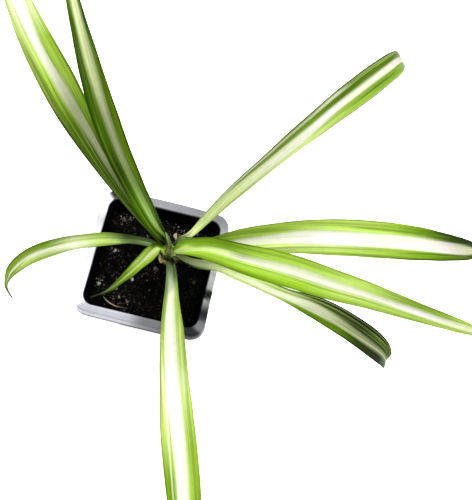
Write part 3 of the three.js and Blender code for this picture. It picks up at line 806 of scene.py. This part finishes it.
def leaf_piece(leaf, seed, columns=COLUMNS, spacing=ROW_SPACING):
    """A blade: a thin strip along its midrib, folded at the middle, arched, veined and rippled."""
    points = [CROWN_AT + point for point in np.array(leaf["points"], float)]
    u, at, side, up, length = carried_frames(points, spacing)
    twist = np.radians(along(leaf.get("twist", [0, 0]), u))[:, None]
    side, up = side * np.cos(twist) + up * np.sin(twist), up * np.cos(twist) - side * np.sin(twist)

    v = np.linspace(-1, 1, columns + 1)
    size = np.abs(v)[None, :]
    fold = np.radians(along(leaf["fold"], u))[:, None]
    half = np.maximum(along(leaf["widths"], u), MIN_WIDTH)[:, None] / 2
    left, right = (along(shares(leaf.get(key, [0, 0])), u)[:, None] for key in ("lean", "lean_right"))
    half = half * np.where(v > 0, 1 + left, 1 + right)
    open_part = smoothstep(*OPENS, u)[:, None] * (1 - smoothstep(*CLOSES, u))[:, None]

    crease = (np.sqrt(v**2 + CREASE**2) - CREASE) / (math.sqrt(1 + CREASE**2) - CREASE)
    place_along = (u * length / RIPPLE_LENGTH)[:, None]
    waves = value_noise(place_along, np.where(v > 0, 0.0, 7.0)[None, :], seed) - 0.5
    across = v * half * np.cos(fold)
    height = crease * half * np.sin(fold) + 4 * size * (1 - size) * half * ARCH * open_part
    height = height + VEIN_HEIGHT * np.cos(2 * math.pi * v * half / VEIN_SPACING) * open_part
    height = height + 2 * RIPPLE_HEIGHT * size**3 * waves * open_part

    run = np.hypot(np.gradient(across, axis=1), np.gradient(height, axis=1))
    normal_across = -np.gradient(height, axis=1) / run
    normal_up = np.gradient(across, axis=1) / run
    thick = EDGE_THICKNESS + (MIDRIB_THICKNESS - EDGE_THICKNESS) * (1 - size**1.5)
    thick = np.minimum(thick, half * TIP_THICKNESS)
    keel = KEEL_HEIGHT * np.exp(-((v * half / KEEL_WIDTH) ** 2)) * (1 - smoothstep(*KEEL_ENDS, u))[:, None]

    def surface(offset):
        a = (across + normal_across * offset)[..., None]
        h = (height + normal_up * offset)[..., None]
        return (at[:, None] + side[:, None] * a + up[:, None] * h).reshape(-1, 3)

    vertices = np.concatenate([surface(thick / 2), surface(-thick / 2 - keel)])
    colour = blade_colours(leaf, u, v, half, length, seed).reshape(-1, 3)
    beneath = colour * UNDERSIDE_LIGHT + linear(PALETTE["sage"]) * UNDERSIDE_PALE
    map_along = np.repeat(u[:, None] * length / MAP_SIZE, columns + 1, axis=1)
    uv = np.stack([map_along, v * half / MAP_SIZE + seed], axis=2).reshape(-1, 2)
    return new_piece(
        leaf["name"] + "_blade", vertices, blade_faces(len(u), columns),
        np.concatenate([colour, beneath]), np.concatenate([uv, uv]),
    )


for number, leaf in enumerate(LEAVES):
    place(leaf_piece(leaf, LEAF_SEED + number), LEAF, "leaf", leaf["name"])
place(leaf_piece(HUSK, HUSK_SEED, HUSK_COLUMNS, HUSK_ROW_SPACING), DRY, "dry", HUSK["name"])

# Crown

# A short stem wrapped in pale sheaths, with roots in the soil. Its profile is radius and
# height, its ridges are depth, how many and how they lean, a root is its direction, reach
# and depth, and a root's course is in shares of these.
CROWN_PROFILE = [
    (0.1, -5), (4.2, -4.4), (6, -1), (6.2, 2), (5.6, 5), (4.4, 8), (3, 10.5), (1.6, 12.2), (0.1, 12.8),
]
CROWN_TOP = CROWN_PROFILE[-1][1]
CROWN_SIDES = 48
CROWN_INSET = 0.97
CROWN_RIDGES = [(0.035, 9, 0.2), (0.02, 23, -0.4)]
ROOTS = [(20, 17, 38), (95, 12, 44), (165, 22, 34), (230, 24, 46), (305, 19, 36)]
ROOT_COURSE = [(0.05, 0.02), (0.35, 0.2), (0.7, 0.55), (1, 1)]
ROOT_RADII = [1.5, 2.1, 2.2, 0.8]

# A sheath runs from just under the soil up to its leaf's foot and narrows on the way
SHEATH_FOOT = -0.8
SHEATH_OVERLAP = 1.6
SHEATH_LEVELS = 12
SHEATH_SIDES = 13
SHEATH_SPREAD = 1.1
SHEATH_NARROWING = 0.72
SHEATH_LIFT = 0.15
SHEATH_SWELL = 0.55
SHEATH_THICKNESS = 0.5
# A factor of painted light that brightens the sheaths where they lie in shade
SHEATH_PAINTED_LIGHT = 1.3

# Streaks of light and dark down the crown, and dry tan patches on it: how many there are in
# a radian and how high they are, the streaks' darkest and what is added to it, and which
# noise makes a patch
CROWN_STREAKS = (3.2, 9)
STREAK_LIGHT = (0.5, 1.1)
CROWN_PATCHES = (2.3, 3)
PATCH_EDGE = (0.62, 0.8)
PATCH_STRENGTH = 0.6


def crown_radius(z):
    radii, heights = zip(*CROWN_PROFILE)
    return np.interp(z, heights, radii)


def crown_stem():
    """The stem, whose sides have shallow ridges."""
    turn = full_turn(CROWN_SIDES)
    (_, bottom), (_, heel) = CROWN_PROFILE[:2]
    loops = []
    for z in [*np.linspace(bottom, heel, 3), *np.linspace(-4, CROWN_TOP - 0.6, 30), CROWN_TOP]:
        ridge = 1 + sum(depth * np.cos(turn * count + z * lean) for depth, count, lean in CROWN_RIDGES)
        loops.append(CROWN_AT + ring(crown_radius(z) * ridge * CROWN_INSET, turn, z))
    vertices, faces = lofted(loops)
    level = (vertices[:, 2] - CROWN_AT[2]) / CROWN_TOP
    return vertices, faces, tones("ink ink brown brown olive sage pale", level)


def root(angle, reach, depth):
    """A fleshy root that runs outward and down into the soil."""
    way = math.radians(angle)
    points = [
        CROWN_AT + [outward * reach * math.cos(way), outward * reach * math.sin(way), -down * depth]
        for outward, down in ROOT_COURSE
    ]
    return tinted(tube(points, ROOT_RADII, sides=12, spacing=1.5), linear(PALETTE["root"]))


def sheath(leaf):
    """A curved scale that hugs the crown under a leaf's foot."""
    x, y, foot_height = leaf["points"][0]
    way = math.atan2(y, x)
    top = leaf.get("sheath", min(foot_height + SHEATH_OVERLAP, CROWN_TOP - 0.4))
    edge = 1 - np.abs(np.linspace(-1, 1, SHEATH_SIDES)) ** 4
    loops = []
    for share in np.linspace(0, 1, SHEATH_LEVELS):
        z = SHEATH_FOOT + (top - SHEATH_FOOT) * share
        spread = SHEATH_SPREAD * (1 - SHEATH_NARROWING * share**1.6)
        around = way + np.linspace(-spread, spread, SHEATH_SIDES)
        outer = crown_radius(z) + SHEATH_LIFT + SHEATH_SWELL * edge * (1 - 0.4 * share)
        inner = outer - SHEATH_THICKNESS
        back = ring(inner[::-1], around[::-1], z)
        loops.append(CROWN_AT + np.concatenate([ring(outer, around, z), back]))
    vertices, faces = lofted(loops)
    level = (vertices[:, 2] - CROWN_AT[2]) / max(top, 1)
    # Near black at the foot as painted shade among the leaf bases, and pale higher up
    return vertices, faces, tones("ink ink brown mist lime lemon", level) * SHEATH_PAINTED_LIGHT


def crown_piece():
    parts = [crown_stem()] + [root(*row) for row in ROOTS] + [sheath(leaf) for leaf in LEAVES]
    vertices, faces, colours = joined(parts)
    x, y, z = (vertices - [CROWN_AT[0], CROWN_AT[1], 0]).T
    around = np.arctan2(y, x)
    streaks = value_noise(around * CROWN_STREAKS[0] + 20, z / CROWN_STREAKS[1], 51)[:, None]
    patches = value_noise(around * CROWN_PATCHES[0] + 40, z / CROWN_PATCHES[1], 53)[:, None]
    dry = PATCH_STRENGTH * smoothstep(*PATCH_EDGE, patches)
    colours = colours * (STREAK_LIGHT[0] + STREAK_LIGHT[1] * streaks)
    colours = colours * (1 - dry) + linear(PALETTE["tan"]) * dry
    uv = np.stack([z / MAP_SIZE, around * 5 / MAP_SIZE], axis=1)
    return new_piece("crown_sheaths", vertices, faces, colours, uv)


place(crown_piece(), CROWN, "crown", "crown")

# Pot

# The bows are how far the back, left, front and right side of the rim stand outward in the
# middle
POT_HEIGHT = 70.0
RIM_SIDE = 80.0
RIM_CORNER = 9.0
RIM_DROP = 9.0
RIM_BOWS = [1.0, 0.0, 0.3, -0.7]
STRAIGHT = [0.0, 0.0, 0.0, 0.0]
OPENING_SIDE = 70.0
OPENING_CORNER = 6.5
BASE_SIDE = 47.0
BASE_CORNER = 9.0
WALL = 1.2
FLOOR = 1.6
DRAIN_REACH = 15
DRAIN_RADIUS = 3.2
DRAIN_SIDES = 32
DRILLED = (-3.0, 5.0)
SHARP_FROM = 38

# Profiles of the pot's edges as changes of side, corner and height: the foot; the rim's
# skirt from inside; its outside and its rolled edge; and the step down to the opening
FOOT_PROFILE = [(-3, -1.5, 0), (-1.6, -0.8, 0.25), (-0.5, -0.25, 0.9), (0, 0, 2)]
SKIRT_PROFILE = [
    (-0.8, -0.4, -1.2), (0, 0, -1.8), (0, 0, -3), (0, 0, 0.3 - RIM_DROP), (0.4, 0.2, -RIM_DROP),
]
RIM_PROFILE = [
    (-0.4, -0.2, -RIM_DROP), (0, 0, 0.35 - RIM_DROP), (0, 0, -4), (0, 0, -1.1), (-0.3, -0.15, -0.5),
    (-0.9, -0.45, -0.12), (-1.8, -0.9, 0), (-4, -1.4, -0.1),
]
STEP_PROFILE = [(2.2, 0.8, 0), (1.2, 0.5, -0.08), (0.4, 0.2, -0.45)]


def rounded_square(side, corner, z, bows=STRAIGHT, steps=12, side_steps=36):
    """Square with round corners, whose sides may stand outward in the middle."""
    points = []
    reach = side / 2 - corner
    for quarter in range(4):
        x = reach * (1 if quarter in (0, 3) else -1)
        y = reach * (1 if quarter < 2 else -1)
        for i in range(steps + 1):
            angle = (quarter + i / steps) * math.pi / 2
            points.append((x + corner * math.cos(angle), y + corner * math.sin(angle), z))
        c, s = ((1, 0), (0, 1), (-1, 0), (0, -1))[quarter]
        for i in range(1, side_steps):
            share = 1 - 2 * i / side_steps
            a, b = share * reach, side / 2 + bows[quarter] * (1 - share**2)
            points.append((a * c - b * s, a * s + b * c, z))
    return np.array(points)


def profiled(side, corner, z, profile, bows=STRAIGHT):
    """Loops that follow a profile from one side, corner and height."""
    return [rounded_square(side + by, corner + turn, z + rise, bows) for by, turn, rise in profile]


def pot_inside(z):
    """Side and corner of the pot's hollow at a height."""
    t = (z - FLOOR) / (POT_HEIGHT - FLOOR)
    side = (BASE_SIDE - 2 * WALL) * (1 - t) + OPENING_SIDE * t
    return side, (BASE_CORNER - WALL) * (1 - t) + OPENING_CORNER * t


def wall_loops(heights, proud=0.0):
    """Loops of the wall, which stand outside the hollow by proud."""
    loops = []
    for z in heights:
        side, corner = pot_inside(z)
        loops.append(rounded_square(side + 2 * proud, corner + proud, z))
    return loops


def pot_loops():
    """Loops up the outside, over the rim and down the inside, which has a small ledge."""
    top = POT_HEIGHT
    loops = profiled(BASE_SIDE, BASE_CORNER, 0, FOOT_PROFILE)
    loops += wall_loops(np.linspace(4, top - 1.6, 16), WALL)
    loops += profiled(RIM_SIDE - 2 * WALL, RIM_CORNER - WALL, top, SKIRT_PROFILE, RIM_BOWS)
    loops += profiled(RIM_SIDE, RIM_CORNER, top, RIM_PROFILE, RIM_BOWS)
    loops += profiled(RIM_SIDE, RIM_CORNER, top, [(-6, -1.8, -0.1)])
    loops += profiled(OPENING_SIDE, OPENING_CORNER, top, STEP_PROFILE)
    loops += wall_loops(np.linspace(top - 1.1, top - 4.5, 4))
    loops += wall_loops([top - 5], -0.35) + wall_loops([top - 5.6], -0.4)
    loops += wall_loops(np.linspace(top - 8, FLOOR + 1.5, 10))
    side, corner = pot_inside(FLOOR)
    return loops + profiled(side, corner, FLOOR, [(-0.6, -0.3, 0.5), (-2, -1, 0)])


def drill(pot, x, y):
    """Cuts a drain hole through the floor."""
    loops = [ring(DRAIN_RADIUS, full_turn(DRAIN_SIDES), z) + [x, y, 0] for z in DRILLED]
    hole = new_piece("drain_cutter", *lofted(loops))
    cut = pot.modifiers.new("drain", "BOOLEAN")
    cut.operation = "DIFFERENCE"
    cut.solver = "EXACT"
    cut.object = hole
    bpy.context.view_layer.update()
    evaluated = pot.evaluated_get(bpy.context.evaluated_depsgraph_get())
    old, mesh = pot.data, bpy.data.meshes.new_from_object(evaluated)
    pot.modifiers.clear()
    pot.data = mesh
    bpy.data.meshes.remove(old)
    bpy.data.objects.remove(hole, do_unlink=True)


def pot_piece():
    pot = new_piece("pot_shell", *lofted(pot_loops()), smooth=False)
    for x, y in ((1, 1), (1, -1), (-1, 1), (-1, -1)):
        drill(pot, x * DRAIN_REACH, y * DRAIN_REACH)
    mesh = pot.data
    mesh.name = "pot_shell"
    places = np.zeros(len(mesh.vertices) * 3)
    mesh.vertices.foreach_get("co", places)
    paint(mesh, pot_tint(places.reshape(-1, 3) / MM))
    mesh.polygons.foreach_set("use_smooth", [True] * len(mesh.polygons))
    mesh.update()
    mesh.set_sharp_from_angle(angle=math.radians(SHARP_FROM))
    return pot


# How light each side of the rim looks with its painted sheen, a painted reflection that is pale on
# most of the rim and dark at its front right corner and in blotches below the leaves: places from
# the side's middle along +X or +Y, each with its level: 0 is black, 255 white, and more where little
# light falls, as painted light
RIM_SHEEN = {
    "front": {
        -40: 216, -35: 212, -12: 212, -8: 206, -4: 196, 0: 170, 4: 156, 8: 146, 14: 134, 27: 90,
        29: 58, 40: 58,
    },
    "right": {
        -40: 54, -37: 90, -35: 166, -30: 162, -28: 82, -24: 54, -22: 100, -20: 160, -18: 210,
        -16: 250, -14.5: 70, -10.5: 56, -8.5: 250, -6: 242, 2: 236, 4: 340, 5: 250, 6: 150,
        8: 122, 10: 182, 12: 163, 20: 210, 25: 190, 40: 160,
    },
    "back": {
        -40: 250, -37: 235, -35.5: 60, -33: 60, -30: 172, 20: 178, 24: 188, 28: 172, 31: 160,
        36: 166, 40: 150,
    },
    "left": {-40: 324, 10: 324, 14: 400, 24: 400, 28: 324, 36: 324, 40: 260},
}
SHEEN_TINT = np.array([0.97, 0.97, 1.04])
BLACK_PLASTIC = np.array([0.003, 0.003, 0.005])
# A painted highlight along the rounded lip of the opening: how strong, how far out and how wide
LIP_HIGHLIGHT_GAIN = 0.15
LIP_AT = 0.9
LIP_WIDTH = 0.5
CORNER_BLEND = 2.5
CLOUD_SIZE = 7

# The painted sheen is stronger on the rim's drop than on its flat, most where it is brightest
DROP_SHEEN_GAIN = [1.06, 1.32]
BRIGHT_SHEEN = (0.24, 0.36)


def sheen_at(side, place):
    """How much light the painted sheen sends back at places along a side of the rim."""
    film_and_sheen = RIM_SHEEN[side]
    level = np.interp(place, list(film_and_sheen), list(film_and_sheen.values())) / 255
    return level ** (SRGB_POWER * VIEW_GAMMA) / LIGHT_GAIN


def pot_tint(p):
    """Black plastic with a pale painted sheen on the rim, thin at its front right corner, and a painted
    highlight along the opening's lip.
    """
    x, y, z = p.T
    across = np.where(y < 0, sheen_at("front", x), sheen_at("back", x))
    beside = np.where(x > 0, sheen_at("right", y), sheen_at("left", y))
    share = smoothstep(-CORNER_BLEND, CORNER_BLEND, np.abs(y) - np.abs(x))
    film_and_sheen = across * share + beside * (1 - share)

    straight = OPENING_SIDE / 2 - OPENING_CORNER
    over_x, over_y = np.abs(x) - straight, np.abs(y) - straight
    round_reach = np.hypot(np.maximum(over_x, 0), np.maximum(over_y, 0))
    outward = np.maximum(np.maximum(over_x, over_y), round_reach) - OPENING_CORNER
    rim_foot = POT_HEIGHT - RIM_DROP
    on_rim = smoothstep(rim_foot + 0.1, rim_foot + 1.2, z) * smoothstep(-0.1, 0.5, outward)
    drop = 1 - smoothstep(POT_HEIGHT - 1.2, POT_HEIGHT - 0.4, z)
    # Painted highlight along the opening's lip
    lip_highlight = np.exp(-(((outward - LIP_AT) / LIP_WIDTH) ** 2))

    cloudy = 0.95 + 0.1 * value_noise(x / CLOUD_SIZE, y / CLOUD_SIZE, 5)
    gain = DROP_SHEEN_GAIN[0] + (DROP_SHEEN_GAIN[1] - DROP_SHEEN_GAIN[0]) * smoothstep(*BRIGHT_SHEEN, film_and_sheen)
    amount = film_and_sheen * on_rim * cloudy * (1 + (gain - 1) * drop) * (1 + LIP_HIGHLIGHT_GAIN * lip_highlight * (1 - drop))
    return BLACK_PLASTIC + np.clip(amount, 0, LIGHTEST)[:, None] * SHEEN_TINT


place(pot_piece(), POT, "pot", "pot")

# Soil
GAP = 0.3
SOIL_LEVEL = 59.0
SOIL_EDGE = SOIL_LEVEL - 1
MOUND_HEIGHT = 1.2
MOUND_REACH = 22
SOIL_BLACK = np.array([0.0019, 0.0016, 0.0013])
SOIL_RINGS = 84
PATCH_SIZE = 3
FINE_SIZE = 0.8
CORNER_STEPS = 10
CROWN_ROOM = 6.5
LUMP_BUMPS = 1.6
CRUMB_SEED, SPECK_SEED, FIBRE_SEED, GRAIN_SEED = 7, 19, 23, 100

# The soil's lumps and crumbs as size, height and seed
SOIL_RELIEF = ((9, 1.3, 3), (4, 1.1, 4), (1.9, 0.8, 5), (0.9, 0.45, 6))


def soil_mound(x, y):
    """Height of the soil without its lumps: a low mound at the crown."""
    from_crown = np.hypot(x - CROWN_AT[0], y - CROWN_AT[1])
    return SOIL_LEVEL - 0.5 + MOUND_HEIGHT * np.exp(-((from_crown / MOUND_REACH) ** 2))


def soil_height(x, y):
    """Height of the soil with its lumps and crumbs."""
    z = soil_mound(x, y)
    for size, height, seed in SOIL_RELIEF:
        z = z + height * (value_noise(x / size + 40, y / size + 40, seed) - 0.5)
    return z


def soil_loop(z):
    side, corner = pot_inside(z)
    return rounded_square(side - 2 * GAP, corner - GAP, z, steps=CORNER_STEPS)


def soil_bed():
    edge = soil_loop(SOIL_EDGE)
    loops = [soil_loop(FLOOR + GAP), edge]
    for number in range(1, SOIL_RINGS):
        share = 1 - number / SOIL_RINGS
        x, y = edge[:, 0] * share, edge[:, 1] * share
        blend = smoothstep(0, 0.06, 1 - share)
        loops.append(np.column_stack([x, y, soil_height(x, y) * blend + SOIL_EDGE * (1 - blend)]))
    vertices, faces = lofted(loops)
    x, y, _ = vertices.T
    patch = value_noise(x / PATCH_SIZE, y / PATCH_SIZE, 9)[:, None]
    fine = value_noise(x / FINE_SIZE, y / FINE_SIZE, 10)[:, None]
    return new_piece("soil_bed", vertices, faces, SOIL_BLACK * (0.4 + 1.2 * patch) * (0.5 + fine))


def lump(x, y, z, size, stretch, rng, subdivisions=1, rough=0.25, upright=False):
    """A rough stone or crumb, as vertices and faces; an upright one is only turned a little."""
    shape = bmesh.new()
    bmesh.ops.create_icosphere(shape, subdivisions=subdivisions, radius=1)
    points = np.array([v.co[:] for v in shape.verts])
    faces = [tuple(v.index for v in f.verts) for f in shape.faces]
    shape.free()
    a, b = rng.uniform(0, 9), rng.uniform(0, 9)
    px, py, pz = points.T
    bumps = value_noise(px * LUMP_BUMPS + a + pz, py * LUMP_BUMPS + b - pz, 17)
    points = points * (1 - rough + 2 * rough * bumps)[:, None] * np.array(stretch)
    way = rng.uniform(-0.2, 0.2) if upright else rng.uniform(0, 6.28)
    turn = Matrix.Rotation(way, 3, "Z") @ Matrix.Rotation(rng.uniform(-0.5, 0.5), 3, "X")
    return points @ np.array(turn).T * size + [x, y, z], faces


def in_crown(x, y):
    return math.hypot(x - CROWN_AT[0], y - CROWN_AT[1]) < CROWN_ROOM


def inside_pot(rng, margin=1.5):
    """A random place on the soil, clear of the crown."""
    reach = pot_inside(SOIL_LEVEL)[0] / 2 - margin
    while True:
        x, y = rng.uniform(-reach, reach), rng.uniform(-reach, reach)
        if not in_crown(x, y):
            return x, y


# Crumbs and specks: their smallest size and what the largest has more
CRUMB_SIZE = (0.28, 0.9)
SPECK_SIZE = (0.16, 0.36)

CRUMBS = 2400
CRUMB_TINTS = [
    (0.0022, 0.0021, 0.0017), (0.0035, 0.0032, 0.0026), (0.006, 0.005, 0.004), (0.0018, 0.0018, 0.0016),
    (0.011, 0.0095, 0.0075), (0.0022, 0.002, 0.0018), (0.028, 0.025, 0.02), (0.008, 0.0065, 0.0105),
]

# Where the crumbs are lighter, as x, y and how far that reaches, and how much lighter
MOTTLE_GAIN = 7
MOTTLES = [
    (-20, -9, 6), (-24, -18, 5), (-14, -17, 5), (-27, 12, 4), (12, 26, 7), (27, -10, 4), (-23, 1, 7),
    (2, -22, 6), (-22, 24, 5),
]


def crumbs():
    """Loose crumbs all over the soil."""
    rng = random.Random(CRUMB_SEED)
    parts = []
    for _ in range(CRUMBS):
        x, y = inside_pot(rng)
        size = CRUMB_SIZE[0] + CRUMB_SIZE[1] * rng.random() ** 4
        z = soil_height(x, y) + size * 0.2
        stretch = (1, rng.uniform(0.5, 1), rng.uniform(0.4, 0.8))
        crumb = lump(x, y, z, size, stretch, rng)
        mottle = max(math.exp(-((x - a) ** 2 + (y - b) ** 2) / r**2) for a, b, r in MOTTLES)
        tint = np.array(rng.choice(CRUMB_TINTS)) * (1 + MOTTLE_GAIN * mottle * rng.random())
        parts.append(tinted(crumb, tint))
    return new_piece("soil_crumbs", *joined(parts), smooth=False)


# Patches of pale dust as x, y, how far they spread, how many specks and how light
SPECK_PATCHES = [
    (-23, 27, 2.5, 26, 150), (-25, 5, 2.2, 14, 150), (-28.5, -17, 2, 22, 130), (-29, -13, 1.6, 10, 90),
    (-19, -22, 3.5, 34, 110), (-12, -27, 3, 24, 100), (-9.5, -22, 2, 14, 90), (-2, -7, 2.5, 18, 110),
    (2, 0, 2, 20, 110), (5, 26, 4, 46, 150), (13, 27, 3, 22, 130), (18, 25, 3, 14, 110),
    (-9, 19, 2.5, 14, 110), (-15, 5, 4, 22, 80), (27, -4, 2, 18, 80), (22, 7.5, 3, 14, 120),
    (29, 8, 1.5, 8, 150), (5, -9, 4, 14, 70), (20, -24, 5, 24, 60), (-3, -27, 4, 16, 60),
    (0, 0, 17, 130, 90), (4, 21.3, 0.6, 7, 190), (13.4, 27.5, 0.5, 5, 220), (8, 30, 0.8, 6, 160),
    (10.4, 24.6, 0.5, 6, 230), (6.5, 17.8, 0.6, 6, 190), (22.7, 7.5, 0.5, 5, 180),
    (-9.5, -25, 0.8, 7, 170), (-15, -23.5, 0.8, 7, 160), (-22.6, 6, 0.7, 6, 150),
    (-8.7, 19.4, 0.8, 5, 140), (0.7, 2.5, 0.7, 5, 150), (-4.4, -6.2, 0.6, 5, 140),
    (-29, -15.7, 0.7, 6, 140), (-18, -25, 0.8, 6, 120), (-25, 26.5, 1.2, 16, 230),
    (-21.3, 27.4, 1.2, 14, 210), (2, -0.3, 1.2, 14, 190), (-10, -29.8, 0.8, 6, 140),
    (-18.2, -18.6, 0.8, 8, 170), (-28.1, 5.3, 0.8, 6, 150),
]
SPECK_LIMIT = 32
LIGHTEST_SPECK = 235
DUST_HUE = np.array([1, 0.93, 0.76])


def specks():
    """The smallest grains of perlite, in patches."""
    rng = random.Random(SPECK_SEED)
    parts = []
    for centre_x, centre_y, reach, count, light in SPECK_PATCHES:
        for _ in range(count):
            x, y = rng.gauss(centre_x, reach), rng.gauss(centre_y, reach)
            if max(abs(x), abs(y)) > SPECK_LIMIT or in_crown(x, y):
                x, y = inside_pot(rng)
            size = SPECK_SIZE[0] + SPECK_SIZE[1] * rng.random() ** 2
            speck = lump(x, y, soil_height(x, y) + size * 0.4, size, (1, 0.8, 0.7), rng)
            level = min(light * rng.uniform(0.4, 1.7), LIGHTEST_SPECK)
            parts.append(tinted(speck, linear([level] * 3) * DUST_HUE))
    return new_piece("perlite_dust", *joined(parts), smooth=False)


FIBRES = 60
FIBRE_STEPS = 5
FIBRE_LIMIT = 33.5


def fibres():
    """Fine threads of root that lie on the soil."""
    rng = random.Random(FIBRE_SEED)
    parts = []
    for _ in range(FIBRES):
        x, y = inside_pot(rng, 4)
        way = rng.uniform(0, 2 * math.pi)
        reach = rng.uniform(2, 5)
        points = []
        for _ in range(FIBRE_STEPS):
            way += rng.uniform(-0.5, 0.5)
            points.append((x, y, soil_height(x, y) + 0.25))
            x += reach * 0.4 * math.cos(way)
            y += reach * 0.4 * math.sin(way)
        radius = rng.uniform(0.06, 0.14)
        thread = tube(points, [radius * 0.6, radius, radius, radius * 0.4], sides=5, spacing=0.8)
        shade = rng.uniform(0.004, 0.04)
        if np.max(np.abs(thread[0][:, :2])) < FIBRE_LIMIT:
            parts.append(tinted(thread, (shade, shade * 0.6, shade * 0.35)))
    return new_piece("soil_fibres", *joined(parts))


place(soil_bed(), SOIL, "soil", "soil")
place(crumbs(), SOIL, "soil")
place(specks(), PERLITE, "perlite")
place(fibres(), DRY, "dry")

# Grains

# Grains of perlite and chips of bark as x, y, size and how light each looks, from 0 to 255
PERLITE_GRAINS = [
    (-25.2, 26.5, 1.5, 86), (-21, 27.4, 1.3, 86), (-25, 5.2, 1.3, 190), (-29, -18, 1.3, 170),
    (-10, -10.4, 1.1, 190), (-9.5, -25.2, 1.1, 120), (-18.3, -18.6, 1.1, 150), (2, -0.5, 1.5, 104),
    (21.5, 28, 1.1, 130), (26.6, -3.2, 1.2, 70), (18, -22, 1.0, 110),
]
BARK_CHIPS = [(8.7, 22.9, 2.2, 238), (-14.9, -23.4, 1.3, 150), (27.3, 8.2, 1.3, 120)]
PIT_SIZE = 0.6


def grains(kind, material, slot, rows, stretch, hue, pitting, upright):
    """Grains over the record's nodes, darker in their pits by the pitting's base and gain."""
    for number, (x, y, size, level) in enumerate(rows):
        rng = random.Random(GRAIN_SEED + number)
        z = soil_mound(x, y) + 0.3 * size
        vertices, faces = lump(x, y, z, size, stretch, rng, 3, 0.3, upright)
        pit_x, pit_y, _ = vertices.T / PIT_SIZE + 50
        pits = value_noise(pit_x, pit_y, 70 + number)[:, None]
        tint = linear([level] * 3) * np.array(hue) * (pitting[0] + pitting[1] * pits)
        node = f"{kind}_{number + 1}"
        piece = new_piece(node + "_grain", vertices, faces, np.clip(tint, 0, 0.9))
        place(piece, material, slot, node)


grains("perlite", PERLITE, "perlite", PERLITE_GRAINS, (1, 0.9, 0.8), (1, 0.95, 0.8), (0.25, 1.5), False)
grains("bark_chip", BARK, "bark", BARK_CHIPS, (0.52, 1, 0.5), (1, 0.87, 0.62), (0.8, 0.4), True)

# Dry root that lies on the soil, coloured along x
STRAND_POINTS = [(-24, -25.5, 59.5), (-20.5, -28, 59.8), (-15.5, -29.5, 59.6), (-8, -29, 59.3)]
strand, strand_faces = tube(STRAND_POINTS, [0.2, 0.42, 0.42, 0.2], sides=12, spacing=0.5)
strand_from, strand_to = STRAND_POINTS[0][0], STRAND_POINTS[-1][0]
share_along = (strand[:, 0] - strand_from) / (strand_to - strand_from)
strand_tint = tones("sage root tan brown shadow", share_along)
place(new_piece("dry_strand_root", strand, strand_faces, strand_tint), DRY, "dry", "dry_strand")

# Floor, light and camera, in metres from here on
FLOOR_REACH = 6
FLOOR_WHITE = (0.92, 0.92, 0.92)
FLOOR_GLOW = 0.7
WORLD_LIGHT = 0.95

floor_nodes = Nodes("floor")
cloud = floor_nodes.noise(floor_nodes.mapped("Object"), 3.0)
floor_nodes.finish(
    Base_Color=floor_nodes.scaled(FLOOR_WHITE, floor_nodes.spread(cloud, 0.99, 1.0)),
    Roughness=0.9, Specular_IOR_Level=0.1,
    Emission_Color=(1, 1, 1, 1), Emission_Strength=FLOOR_GLOW,
)
corners = np.array([[-1, -1, 0], [1, -1, 0], [1, 1, 0], [-1, 1, 0]]) * FLOOR_REACH / MM
floor = new_piece("floor", corners, [(0, 1, 2, 3)])
floor.data.materials.append(floor_nodes.material)

scene = bpy.context.scene
scene.world = bpy.data.worlds.new("studio")
scene.world.use_nodes = True
background = scene.world.node_tree.nodes["Background"]
background.inputs["Color"].default_value = (1, 1, 1, 1)
background.inputs["Strength"].default_value = WORLD_LIGHT


def soft_light(name, at, to, size, radiance, colour=(1, 1, 1)):
    """A square lamp of the given radiance that looks from one place to another."""
    light = bpy.data.lights.new(name, "AREA")
    light.shape = "SQUARE"
    light.size = size
    light.energy = radiance * math.pi * size * size
    light.color = colour
    lamp = bpy.data.objects.new(name, light)
    scene.collection.objects.link(lamp)
    back = np.array(at, float) - np.array(to, float)
    back /= np.linalg.norm(back)
    right = np.cross([0, 1, 0.01], back)
    right /= np.linalg.norm(right)
    axes = np.column_stack([right, np.cross(back, right), back])
    lamp.matrix_world = Matrix.Translation(at) @ Matrix(axes.tolist()).to_4x4()


soft_light("key", at=(0.66, 0.42, 1.2), to=(0.02, 0.0, 0.08), size=0.4, radiance=30.0)
soft_light("overhead", (-0.11, 0.46, 1.3), (0.0, 0.0, 0.07), 0.45, 9.0, colour=(0.95, 0.97, 1.0))

# Camera fitted to the pot's rim: its place, and right, down and forward in the picture
CAMERA_AT = (0.05062, -0.21615, 0.67564)
CAMERA_LENS = 76.82
RIGHT = np.array([0.9725, 0.2189, 0.0798])
DOWN = np.array([0.2329, -0.9057, -0.3542])
FORWARD = np.array([-0.0053, 0.363, -0.9318])
camera_data = bpy.data.cameras.new("camera")
camera_data.sensor_width = 36
camera_data.lens = CAMERA_LENS
camera_data.clip_start = 0.05
camera_data.clip_end = 30
camera = bpy.data.objects.new("camera", camera_data)
scene.collection.objects.link(camera)
camera_axes = Matrix(np.column_stack([RIGHT, -DOWN, -FORWARD]).tolist())
camera.matrix_world = Matrix.Translation(CAMERA_AT) @ camera_axes.to_4x4()
scene.camera = camera
scene.view_settings.view_transform = "Standard"
scene.view_settings.look = "None"
scene.view_settings.gamma = VIEW_GAMMA

bpy.context.view_layer.update()
